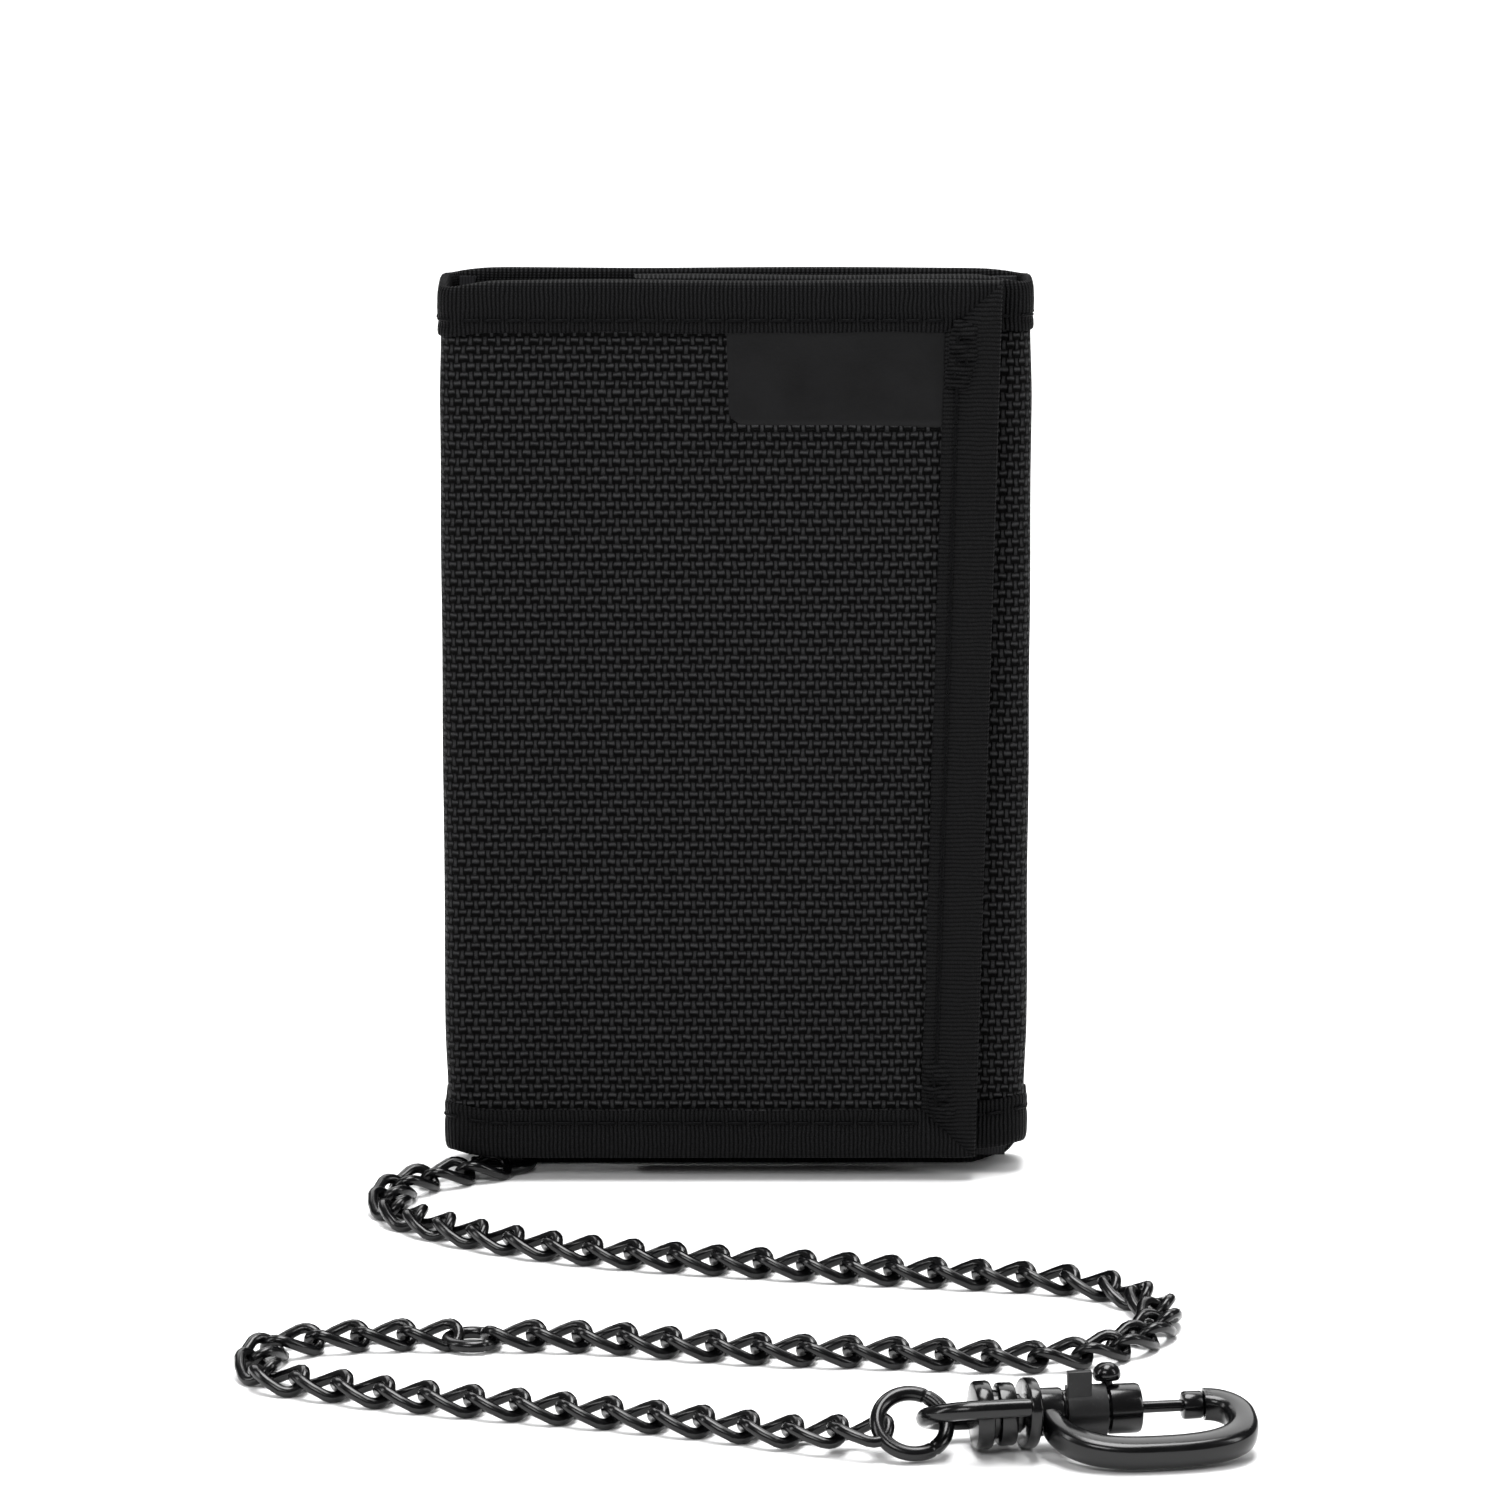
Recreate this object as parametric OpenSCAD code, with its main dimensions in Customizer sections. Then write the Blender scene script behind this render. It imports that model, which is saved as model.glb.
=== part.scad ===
// Tri-fold fabric wallet with a twisted curb chain and a locking snap hook.
// Frame: +Z is up, +X is right, the front cover faces -Y, and the origin is at the
// bottom centre of the closed wallet. All sizes are in millimetres.

/* [Wallet] */
// Width of the closed wallet over both folds
wallet_width = 82; // [76:1:100]
// Height of the back panel, from the surface it stands on
wallet_height = 127.4; // [110:0.1:155]
// Thickness of the closed wallet
wallet_depth = 16; // [16:0.5:24]
// Height that the folding panels are held above the chain lying under them
fold_lift = 3.4; // [3.4:0.1:8]
// Width of the visible strip of the inner flap, at the top of the cover's free edge
strip_top = 4.5; // [2:0.5:12]
// How much further in the cover's free edge is at the bottom
edge_lean = 3; // [0:0.5:6]
// Width of the inner flap, from the right fold to its free edge
flap_width = 55; // [45:1:56]

/* [Binding] */
// Thickness of the ribbed binding tape
tape = 0.4; // [0.3:0.1:0.8]
// Width of the binding along the top and bottom edges
band_width = 7; // [5:0.5:10]
// Width of the binding along the free edges
edge_band_width = 7.8; // [5:0.2:10]

/* [Layers] */
// Thickness of the outer fabric
skin = 0.8; // [0.5:0.1:1.2]
// Thickness of the stiffening sheet
stiffener = 0.5; // [0.3:0.1:0.8]
// Thickness of the lining
lining = 0.4; // [0.3:0.1:0.6]
// Thickness of one card pocket layer
pocket = 0.6; // [0.4:0.1:0.8]
// Thickness of the note divider
divider = 0.3; // [0.2:0.1:0.4]
// Thickness of the clear window
window_sheet = 0.4; // [0.3:0.1:0.6]
// Height of each pocket's mouth below the one behind it
pocket_step = 14; // [8:1:20]

/* [Label patch] */
// Width of the smooth patch
patch_width = 30.4; // [20:0.2:33]
// Height of the smooth patch that shows below the top binding
patch_height = 13.4; // [8:0.2:20]
// Radius of its lower corner
patch_radius = 3; // [1:0.5:5]

/* [Closure] */
// Width of the hook and loop tapes
closure_width = 20; // [10:1:22]
// Height of the hook and loop tapes
closure_height = 20; // [10:1:30]

/* [Chain] */
// Width of the chain across its links
chain_width = 5.6; // [5:0.1:5.8]
// Height of the chain lying flat
chain_height = 3; // [2.8:0.1:3]
// Wire of the ring at the wallet and of the joining ring
small_wire = 1.6; // [1.4:0.1:1.8]
// Wire of the large ring at the hook
ring_wire = 1.9; // [1.6:0.1:1.9]
// Centreline radius of the large ring
ring_radius = 4.3; // [4.3:0.1:4.6]

/* [Snap hook] */
// Length of the hook from the swivel bail to its outer end
hook_reach = 41.8; // [41:0.1:46]
// Distance from the hook's axis to the outside of its spine
hook_spread = 12.7; // [12.2:0.1:14]
// Width of the hook's bar
bar_width = 4.3; // [3.6:0.1:4.6]
// Thickness of the hook's bar
bar_thickness = 3.6; // [3:0.1:3.8]
// Height of the hook's axis above the surface
axis_height = 4.8; // [4.8:0.1:6]
// Radius of the barrel that holds the plunger
barrel_radius = 3.1; // [3.1:0.1:3.4]
// Radius of the plunger's rod
rod_radius = 0.75; // [0.6:0.05:0.9]
// Travel of the plunger
plunger_travel = 4.2; // [3:0.1:4.2]

/* [Hidden] */
half_width = wallet_width / 2;
half_depth = wallet_depth / 2;
fold_gap = 0.3;
// Panels stop short of the folds, which are strips of their own
fold_inset = tape * 2 + skin + fold_gap;
panel_edge = half_width - fold_inset;
mitre = edge_band_width / band_width;

// A panel is [fold x, free x at top, free x at bottom, bottom z, top z]
free_top = half_width - strip_top;
cover = [-panel_edge, free_top, free_top - edge_lean, fold_lift, wallet_height];
flap_free = half_width - flap_width;
flap = [panel_edge, flap_free, flap_free, fold_lift, wallet_height];

// Layers of the back panel, from the outside in
back_face = half_depth;
back_skin_y = back_face - tape - skin;
back_stiffener_y = back_skin_y - stiffener;
back_lining_y = back_stiffener_y - lining;
shell_inner_y = back_lining_y - tape;
divider_y = shell_inner_y - 0.1 - divider;
pocket_panel_y = divider_y - tape - stiffener;
pocket_panel_top = wallet_height - 3.4;
upper_pocket_y = pocket_panel_y - pocket;
middle_pocket_y = upper_pocket_y - pocket;
lower_pocket_y = middle_pocket_y - pocket;
back_inner_y = lower_pocket_y - tape;
first_mouth = wallet_height - 19.4;

// Layers of the cover, from the outside in
cover_face = -half_depth;
cover_skin_y = cover_face + tape;
cover_stiffener_y = cover_skin_y + skin;
cover_lining_y = cover_stiffener_y + stiffener;
cover_upper_y = cover_lining_y + lining;
cover_lower_y = cover_upper_y + pocket;
cover_pocket_face = cover_lower_y + pocket;
cover_inner_y = cover_pocket_face + tape;

// Layers of the inner flap, which lies behind the cover so that the closure meets
closure_sheet = 0.5;
closure_gap = 0.45;
flap_card_space = 1.6;
flap_face = cover_pocket_face + 2 * closure_sheet + closure_gap - tape;
flap_skin_y = flap_face + tape;
flap_stiffener_y = flap_skin_y + skin;
flap_lining_y = flap_stiffener_y + stiffener;
flap_window_y = flap_lining_y + lining + flap_card_space;
flap_frame_y = flap_window_y + window_sheet;
flap_inner_y = flap_frame_y + stiffener + tape;
window_margin = 5;

patch_right = free_top - edge_band_width;
patch_top = wallet_height - band_width;
patch_sheet = 0.5;
closure_right = free_top - edge_lean - edge_band_width - 1;
closure_z = wallet_height / 2;

// Ring at the wallet, lying flat under the fold
tab_x = -33;
tab_width = 5.4;
tab_height = 2.6;
dee_radius = 4;
dee_y = -0.6;
dee_z = small_wire / 2 + 0.2;

// Route of the chain, from the wallet's ring to the joining ring and on to the hook
chain_z = chain_height / 2;
long_route = [
    [-34.5, -5.5, chain_z], [-40, -9, chain_z], [-45.5, -14, chain_z],
    [-48, -21, chain_z], [-46.5, -28.5, chain_z], [-41.5, -35, chain_z],
    [-34, -41, chain_z], [-25, -46, chain_z], [-14, -50, chain_z],
    [-2, -53, chain_z], [10, -55.5, chain_z], [22, -58, chain_z],
    [34, -60, chain_z], [43, -62, chain_z], [50, -66, chain_z],
    [54.5, -73, chain_z], [55, -81, chain_z], [51.5, -89, chain_z],
    [45.5, -94.5, chain_z], [38, -97, chain_z], [30, -96.5, chain_z],
    [18, -95, chain_z], [6, -94, chain_z], [-6, -91.5, chain_z],
    [-18, -88.5, chain_z], [-30.5, -87.5, chain_z]];
joining_ring_at = [-34, -87.5];
joining_ring_radius = 3.2;
short_route = [
    [-37.5, -87.5, chain_z], [-44.5, -87.5, chain_z], [-51.5, -88.5, chain_z],
    [-58.5, -91.5, chain_z], [-61, -98.5, chain_z], [-58.5, -105.5, chain_z],
    [-51.5, -109, chain_z], [-44, -112.5, chain_z], [-35, -115.5, chain_z],
    [-24, -118.5, chain_z], [-12, -122, chain_z], [-2, -125.5, chain_z],
    [7, -129.5, chain_z + 0.3], [15.5, -133, chain_z + 1.5]];

// Stations along the hook's axis, measured from the outside of the bail's crown
hook_x = 22.3;
hook_y = -133;
hook_yaw = 9;
hook_tilt = 13.3;
bail_tilt = 24;
bail_wire = 1.15;
bail_half = 5.7;
plate_start = 13.2;
plate_thick = 1.5;
plate_half_width = 6.8;
plate_half_height = 4.35;
stem_radius = 1.6;
stem_play = 0.2;
flange_one = [7, 9.2, 4.25];
flange_two = [10, 12.2, 3.9];
spool_core = 3;
spool_neck = 2.4;
neck_start = plate_start + plate_thick + 0.3;
neck_radius = 3;
stem_end = neck_start + 1.4;
bore_start = stem_end + 0.2;
bore_radius = 1.85;
groove_start = 18.2;
groove_end = 23.8;
groove_radius = 2.6;
barrel_end = 28;
end_wall = 0.8;
knob_at = 24;
knob_lean = -12;
knob_radius = 1.9;
pin_radius = 0.7;
pin_slot = 1.7;
plunger_back = 22.9;
plunger_front = 25.1;
plunger_radius = 1.7;
nose_start = 33.3;
nose_radius = 1.75;
boss_radius = 2.9;
nose_end = hook_reach - 2 * boss_radius - 0.2;
collar_gap = 0.3;
collar_inner = groove_radius + 0.15;
collar_wall = 0.7;
collar_slot_from = -5;
collar_slot_to = 89;
tab_front = -2.4;
tab_thick = 1;
tab_top = 5.6;
eye_half_length = 8.9;
eye_half_width = hook_spread - bar_width;
spring_turns = 5;
spring_wire = 0.18;
spring_radius = 1.4;
ring_lean = 42;
ring_back = 0.5;
$fn = 48;

// ---- Panel outlines, in X and Z ----

function side(p) = sign(p[1] - p[0]);
function fold_corner(p, top, d) = top ? [p[0], p[4] - d] : [p[0], p[3] + d];
function free_corner(p, top, d) = top
    ? [p[1] - side(p) * d * mitre, p[4] - d]
    : [p[2] - side(p) * d * mitre, p[3] + d];
function field(p, d) = [
    fold_corner(p, false, d), free_corner(p, false, d),
    free_corner(p, true, d), fold_corner(p, true, d)];
function cross_band(p, top, d) = [
    fold_corner(p, top, 0), free_corner(p, top, 0),
    free_corner(p, top, d), fold_corner(p, top, d)];
function edge_band(p, d) = [
    free_corner(p, true, 0), free_corner(p, false, 0),
    free_corner(p, false, d), free_corner(p, true, d)];
function oblong(x0, x1, z0, z1) = [[x0, z0], [x1, z0], [x1, z1], [x0, z1]];

// ---- Shared shapes ----

// A flat sheet standing upright, from its front face at y
module sheet(outline, y, thickness) {
    translate([0, y + thickness, 0])
        rotate([90, 0, 0])
            linear_extrude(thickness)
                polygon(outline);
}

// Binding tape folded round an edge: two legs, and the turn that joins them
module binding(leg, turn, front, back) {
    sheet(leg, front, tape);
    sheet(leg, back - tape, tape);
    sheet(turn, front, back - front);
}

// Binding tape round the top or bottom of a fold strip, which stands along Y
module fold_binding(outer_x, inward, y0, y1, z, up) {
    low = up > 0 ? z : z - band_width;
    turn_low = up > 0 ? z : z - tape;
    far = outer_x + inward * (2 * tape + skin);
    for (x = [outer_x, far - inward * tape])
        translate([min(x, x + inward * tape), y0, low])
            cube([tape, y1 - y0, band_width]);
    translate([min(outer_x, far), y0, turn_low])
        cube([abs(far - outer_x), y1 - y0, tape]);
}

module fold_strip(outer_x, inward, y0, y1) {
    x = outer_x + inward * tape;
    translate([min(x, x + inward * skin), y0, fold_lift + tape])
        cube([skin, y1 - y0, wallet_height - fold_lift - 2 * tape]);
}

// Everything on the hook's axis: X runs along it, away from the chain
module at_hook(tilt = 0) {
    translate([hook_x, hook_y, axis_height])
        rotate([0, 0, hook_yaw])
            rotate([tilt, 0, 0])
                children();
}

module disc(from, to, r) {
    translate([from, 0, 0])
        rotate([0, 90, 0])
            cylinder(h = to - from, r = r);
}

module torus(radius, wire) {
    rotate_extrude()
        translate([radius, 0])
            circle(r = wire / 2);
}

// ---- Swept tubes ----

function unit(v) = v / norm(v);
function tangent(route, i) = unit(
    route[min(i + 1, len(route) - 1)] - route[max(i - 1, 0)]);
function flat_ring(route, i, width, height) =
    let (t = tangent(route, i), across = unit([-t[1], t[0], 0]), grow = 1 / cos(22.5))
    [for (k = [0:7])
        let (a = 22.5 + 45 * k)
        route[i] + across * cos(a) * width / 2 * grow
            + [0, 0, 1] * sin(a) * height / 2 * grow];
function tube_faces(rings, sides) = concat(
    [[for (k = [0:sides - 1]) k]],
    [[for (k = [0:sides - 1]) (rings - 1) * sides + sides - 1 - k]],
    [for (i = [0:rings - 2], k = [0:sides - 1])
        let (next = (k + 1) % sides)
        [i * sides + k, (i + 1) * sides + k, (i + 1) * sides + next, i * sides + next]]);

module chain_tube(route) {
    points = [for (i = [0:len(route) - 1]) each flat_ring(route, i, chain_width, chain_height)];
    polyhedron(points, tube_faces(len(route), 8), convexity = 10);
}

module coil_spring(from, to, turns, radius, wire) {
    steps = 16 * turns;
    points = [for (i = [0:steps], k = [0:5])
        let (a = 360 * turns * i / steps, b = 60 * k, r = radius + wire * cos(b))
        [from + wire + (to - from - 2 * wire) * i / steps + wire * sin(b),
            r * cos(a), r * sin(a)]];
    polyhedron(points, tube_faces(steps + 1, 6), convexity = 10);
}

// ---- Back panel ----

module back_band(top, y0, y1) {
    z = top ? wallet_height : 0;
    leg = oblong(-panel_edge, panel_edge, top ? z - band_width : 0, top ? z : band_width);
    turn = oblong(-panel_edge, panel_edge, top ? z - tape : 0, top ? z : tape);
    binding(leg, turn, y0, y1);
}

module back_layer(y, thickness, top) {
    sheet(oblong(-panel_edge, panel_edge, tape, top), y, thickness);
}

module back_outer_fabric() {
    color("#1c1c1e") back_layer(back_skin_y, skin, wallet_height - tape);
}

module back_stiffener() {
    color("#4a4a4c") back_layer(back_stiffener_y, stiffener, wallet_height - tape);
}

module back_lining() {
    color("#26262a") back_layer(back_lining_y, lining, wallet_height - tape);
}

module back_top_binding() {
    color("#121214") back_band(true, shell_inner_y, back_face);
}

module back_bottom_binding() {
    color("#121214") back_band(false, back_inner_y, back_face);
}

module note_divider() {
    color("#26262a") back_layer(divider_y, divider, pocket_panel_top - 6);
}

module pocket_panel() {
    color("#26262a") back_layer(pocket_panel_y, stiffener, pocket_panel_top - tape);
}

module pocket_top_binding() {
    leg = oblong(-panel_edge, panel_edge, pocket_panel_top - band_width + 1, pocket_panel_top);
    turn = oblong(-panel_edge, panel_edge, pocket_panel_top - tape, pocket_panel_top);
    color("#121214") binding(leg, turn, pocket_panel_y - tape, pocket_panel_y + stiffener + tape);
}

module card_pocket_upper() {
    color("#202024") back_layer(upper_pocket_y, pocket, first_mouth);
}

module card_pocket_middle() {
    color("#202024") back_layer(middle_pocket_y, pocket, first_mouth - pocket_step);
}

module card_pocket_lower() {
    color("#202024") back_layer(lower_pocket_y, pocket, first_mouth - 2 * pocket_step);
}

// ---- Ring at the wallet ----

module ring_tab() {
    color("#121214")
        difference() {
            translate([tab_x - tab_width / 2, dee_y - small_wire, 0])
                cube([tab_width, back_inner_y - dee_y + small_wire, tab_height]);
            translate([tab_x - tab_width, dee_y, dee_z])
                rotate([0, 90, 0])
                    cylinder(h = 2 * tab_width, r = small_wire / 2);
        }
}

module wallet_ring() {
    color("#2b2b2d")
        translate([tab_x, dee_y, dee_z]) {
            translate([-dee_radius, 0, 0])
                rotate([0, 90, 0])
                    cylinder(h = 2 * dee_radius, r = small_wire / 2);
            rotate([0, 0, 180])
                rotate_extrude(angle = 180)
                    translate([dee_radius, 0])
                        circle(r = small_wire / 2);
            for (x = [-dee_radius, dee_radius])
                translate([x, 0, 0])
                    sphere(r = small_wire / 2);
        }
}

// ---- Folds ----

fold_y0 = cover_face + tape;
fold_y1 = back_face - tape;
right_fold_y0 = flap_face + tape;

module left_fold_fabric() {
    color("#1c1c1e") fold_strip(-half_width, 1, fold_y0, fold_y1);
}

module left_fold_top_binding() {
    color("#121214") fold_binding(-half_width, 1, fold_y0, fold_y1, wallet_height, -1);
}

module left_fold_bottom_binding() {
    color("#121214") fold_binding(-half_width, 1, fold_y0, fold_y1, fold_lift, 1);
}

module right_fold_fabric() {
    color("#1c1c1e") fold_strip(half_width, -1, right_fold_y0, fold_y1);
}

module right_fold_top_binding() {
    color("#121214") fold_binding(half_width, -1, right_fold_y0, fold_y1, wallet_height, -1);
}

module right_fold_bottom_binding() {
    color("#121214") fold_binding(half_width, -1, right_fold_y0, fold_y1, fold_lift, 1);
}

// ---- Cover ----

module patch_outline(play) {
    x0 = patch_right - patch_width + play;
    z0 = patch_top - patch_height + play;
    difference() {
        square_to(x0, free_top - 2, z0, wallet_height - 2);
        difference() {
            square_to(x0 - 1, x0 + patch_radius, z0 - 1, z0 + patch_radius);
            translate([x0 + patch_radius, z0 + patch_radius])
                circle(r = patch_radius);
        }
    }
}

module square_to(x0, x1, z0, z1) {
    translate([x0, z0])
        square([x1 - x0, z1 - z0]);
}

module patch_solid(play, y, thickness) {
    translate([0, y + thickness, 0])
        rotate([90, 0, 0])
            linear_extrude(thickness)
                patch_outline(play);
}

module cover_outer_fabric() {
    color("#1c1c1e")
        difference() {
            sheet(field(cover, tape), cover_skin_y, skin);
            patch_solid(0, cover_skin_y - 1, skin + 2);
        }
}

module cover_stiffener() {
    color("#4a4a4c") sheet(field(cover, tape), cover_stiffener_y, stiffener);
}

module cover_lining() {
    color("#26262a") sheet(field(cover, tape), cover_lining_y, lining);
}

module cover_top_binding() {
    color("#121214")
        binding(cross_band(cover, true, band_width), cross_band(cover, true, tape),
            cover_face, cover_inner_y);
}

module cover_bottom_binding() {
    color("#121214")
        binding(cross_band(cover, false, band_width), cross_band(cover, false, tape),
            cover_face, cover_inner_y);
}

module cover_edge_binding() {
    color("#121214")
        binding(edge_band(cover, band_width), edge_band(cover, tape), cover_face, cover_inner_y);
}

module label_patch() {
    color("#2e2e30") patch_solid(0.1, cover_stiffener_y - patch_sheet, patch_sheet);
}

function pocket_outline(p, mouth) = [
    fold_corner(p, false, tape), free_corner(p, false, tape),
    [free_corner(p, false, tape)[0], mouth], [p[0], mouth]];

module cover_pocket_upper() {
    color("#202024") sheet(pocket_outline(cover, first_mouth), cover_upper_y, pocket);
}

module cover_pocket_lower() {
    color("#202024")
        sheet(pocket_outline(cover, first_mouth - pocket_step), cover_lower_y, pocket);
}

module hook_tape() {
    color("#141416")
        sheet(oblong(closure_right - closure_width, closure_right,
            closure_z - closure_height / 2, closure_z + closure_height / 2),
            cover_pocket_face, closure_sheet);
}

// ---- Inner flap ----

module flap_outer_fabric() {
    color("#1c1c1e") sheet(field(flap, tape), flap_skin_y, skin);
}

module flap_stiffener() {
    color("#4a4a4c") sheet(field(flap, tape), flap_stiffener_y, stiffener);
}

module flap_lining() {
    color("#26262a") sheet(field(flap, tape), flap_lining_y, lining);
}

module flap_top_binding() {
    color("#121214")
        binding(cross_band(flap, true, band_width), cross_band(flap, true, tape),
            flap_face, flap_inner_y);
}

module flap_bottom_binding() {
    color("#121214")
        binding(cross_band(flap, false, band_width), cross_band(flap, false, tape),
            flap_face, flap_inner_y);
}

module flap_edge_binding() {
    color("#121214")
        binding(edge_band(flap, band_width), edge_band(flap, tape), flap_face, flap_inner_y);
}

module window_frame() {
    m = band_width + window_margin;
    color("#202024")
        difference() {
            sheet(field(flap, tape), flap_frame_y, stiffener);
            sheet(oblong(flap_free + m, panel_edge - m, fold_lift + m, wallet_height - m - 20),
                flap_frame_y - 1, stiffener + 2);
        }
}

module clear_window() {
    color("#b8bcc0") sheet(field(flap, tape), flap_window_y, window_sheet);
}

module loop_tape() {
    color("#141416")
        sheet(oblong(closure_right - closure_width, closure_right,
            closure_z - closure_height / 2, closure_z + closure_height / 2),
            flap_skin_y - closure_sheet, closure_sheet);
}

// ---- Chain and its rings ----

module chain_long() {
    color("#1a1a1c") chain_tube(long_route);
}

module chain_short() {
    color("#1a1a1c") chain_tube(short_route);
}

module joining_ring() {
    color("#1a1a1c")
        translate([joining_ring_at[0], joining_ring_at[1], small_wire / 2 + 0.3])
            torus(joining_ring_radius, small_wire);
}

module jump_ring() {
    color("#1a1a1c")
        at_hook()
            translate([-ring_back, 0, ring_radius * sin(ring_lean) + ring_wire / 2 + 0.3 - axis_height])
                rotate([ring_lean, 0, 0])
                    torus(ring_radius, ring_wire);
}

// ---- Swivel ----

module swivel_bail() {
    crown = bail_half + bail_wire;
    color("#1a1a1c")
        at_hook(-bail_tilt) {
            translate([crown, 0, 0])
                rotate([0, 0, 90])
                    rotate_extrude(angle = 180)
                        translate([bail_half, 0])
                            circle(r = bail_wire);
            for (y = [-bail_half, bail_half])
                translate([crown, y, 0])
                    rotate([0, 90, 0])
                        cylinder(h = plate_start - crown, r = bail_wire);
        }
}

module swivel_plate() {
    color("#1a1a1c")
        at_hook(-bail_tilt)
            translate([plate_start, 0, 0])
                rotate([90, 0, 90])
                    linear_extrude(plate_thick)
                        difference() {
                            polygon([for (a = [0:7.5:352.5])
                                [plate_half_width * cos(a), plate_half_height * sin(a)]]);
                            circle(r = stem_radius + stem_play);
                        }
}

module swivel_spool() {
    color("#1a1a1c")
        at_hook() {
            disc(flange_one[0], flange_one[1], flange_one[2]);
            disc(flange_one[1], flange_two[0], spool_core);
            disc(flange_two[0], flange_two[1], flange_two[2]);
            disc(flange_two[1], plate_start - 0.3, spool_neck);
            disc(flange_two[1], stem_end, stem_radius);
        }
}

// ---- Snap hook ----

module hook_outline() {
    centre = (neck_start + hook_reach) / 2;
    outer = (hook_reach - neck_start) / 2;
    eye = hook_reach - 2 * boss_radius + 0.5 - eye_half_length;
    difference() {
        union() {
            polygon([for (a = [0:5:180])
                [centre + outer * cos(a), -hook_spread * sin(a)]]);
            translate([hook_reach - boss_radius, 0])
                circle(r = boss_radius);
        }
        polygon(concat(
            [for (a = [0:5:180])
                [eye + eye_half_length * cos(a), -eye_half_width * sin(a)]],
            [[eye - eye_half_length, 4], [hook_reach - 2 * boss_radius, 4],
                [hook_reach - 2 * boss_radius, 0]]));
    }
}

module hook_frame() {
    color("#1a1a1c")
        at_hook(hook_tilt)
            difference() {
                union() {
                    difference() {
                        linear_extrude(bar_thickness, center = true)
                            hook_outline();
                        disc(groove_start, groove_end, collar_inner + collar_wall + collar_gap);
                    }
                    disc(neck_start, groove_start, neck_radius);
                    disc(groove_start, groove_end, groove_radius);
                    disc(groove_end, barrel_end, barrel_radius);
                }
                rotate([-hook_tilt, 0, 0])
                    disc(neck_start - 1, stem_end, stem_radius);
                disc(bore_start, barrel_end - end_wall, bore_radius);
                disc(barrel_end - end_wall - 1, barrel_end + 1, rod_radius + 0.15);
                rotate([knob_lean - hook_tilt, 0, 0])
                    translate([knob_at - plunger_travel - pin_slot / 2, -pin_slot / 2, 0])
                        cube([plunger_travel + pin_slot, pin_slot, 2 * barrel_radius]);
            }
}

module plunger_rod() {
    color("#1a1a1c")
        at_hook()
            difference() {
                union() {
                    disc(plunger_back, plunger_front, plunger_radius);
                    disc(plunger_front, nose_start, rod_radius);
                    disc(nose_start, nose_end, nose_radius);
                }
                rotate([knob_lean, 0, 0])
                    translate([knob_at, 0, 0])
                        cylinder(h = 2 * plunger_radius, r = pin_radius);
            }
}

module thumb_knob() {
    low = collar_inner + collar_wall + 0.3;
    color("#1a1a1c")
        at_hook(knob_lean)
            translate([knob_at, 0, 0]) {
                cylinder(h = low + 0.1, r = pin_radius);
                translate([0, 0, low])
                    intersection() {
                        cylinder(h = 2.2, r = knob_radius);
                        translate([0, 0, 0.3])
                            sphere(r = knob_radius);
                    }
            }
}

module plunger_spring() {
    color("#8a8a8c")
        at_hook() coil_spring(bore_start, plunger_back, spring_turns, spring_radius, spring_wire);
}

module lock_collar() {
    from = groove_start + collar_gap;
    to = groove_end - collar_gap;
    outer = collar_inner + collar_wall;
    color("#3a3a3c")
        at_hook() {
            difference() {
                disc(from, to, outer);
                disc(from - 1, to + 1, collar_inner);
                translate([from - 1, 0, 0])
                    rotate([90, 0, 90])
                        linear_extrude(to - from + 2)
                            polygon(concat([[0, 0]],
                                [for (i = [0:6])
                                    let (a = collar_slot_from + (collar_slot_to - collar_slot_from) * i / 6)
                                    [2 * outer * sin(a), 2 * outer * cos(a)]]));
            }
            translate([from, tab_front, 2.4])
                cube([3, tab_thick, tab_top - 2.4]);
        }
}

// ---- Nodes ----

back_outer_fabric();
back_stiffener();
back_lining();
back_top_binding();
back_bottom_binding();
note_divider();
pocket_panel();
pocket_top_binding();
card_pocket_upper();
card_pocket_middle();
card_pocket_lower();
ring_tab();
wallet_ring();
left_fold_fabric();
left_fold_top_binding();
left_fold_bottom_binding();
cover_outer_fabric();
cover_stiffener();
cover_lining();
cover_top_binding();
cover_bottom_binding();
cover_edge_binding();
label_patch();
cover_pocket_upper();
cover_pocket_lower();
hook_tape();
right_fold_fabric();
right_fold_top_binding();
right_fold_bottom_binding();
flap_outer_fabric();
flap_stiffener();
flap_lining();
flap_top_binding();
flap_bottom_binding();
flap_edge_binding();
window_frame();
clear_window();
loop_tape();
chain_long();
joining_ring();
chain_short();
jump_ring();
swivel_bail();
swivel_plate();
swivel_spool();
hook_frame();
plunger_rod();
thumb_knob();
plunger_spring();
lock_collar();
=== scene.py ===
import math

import bpy
from mathutils import Matrix, Vector


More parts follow.
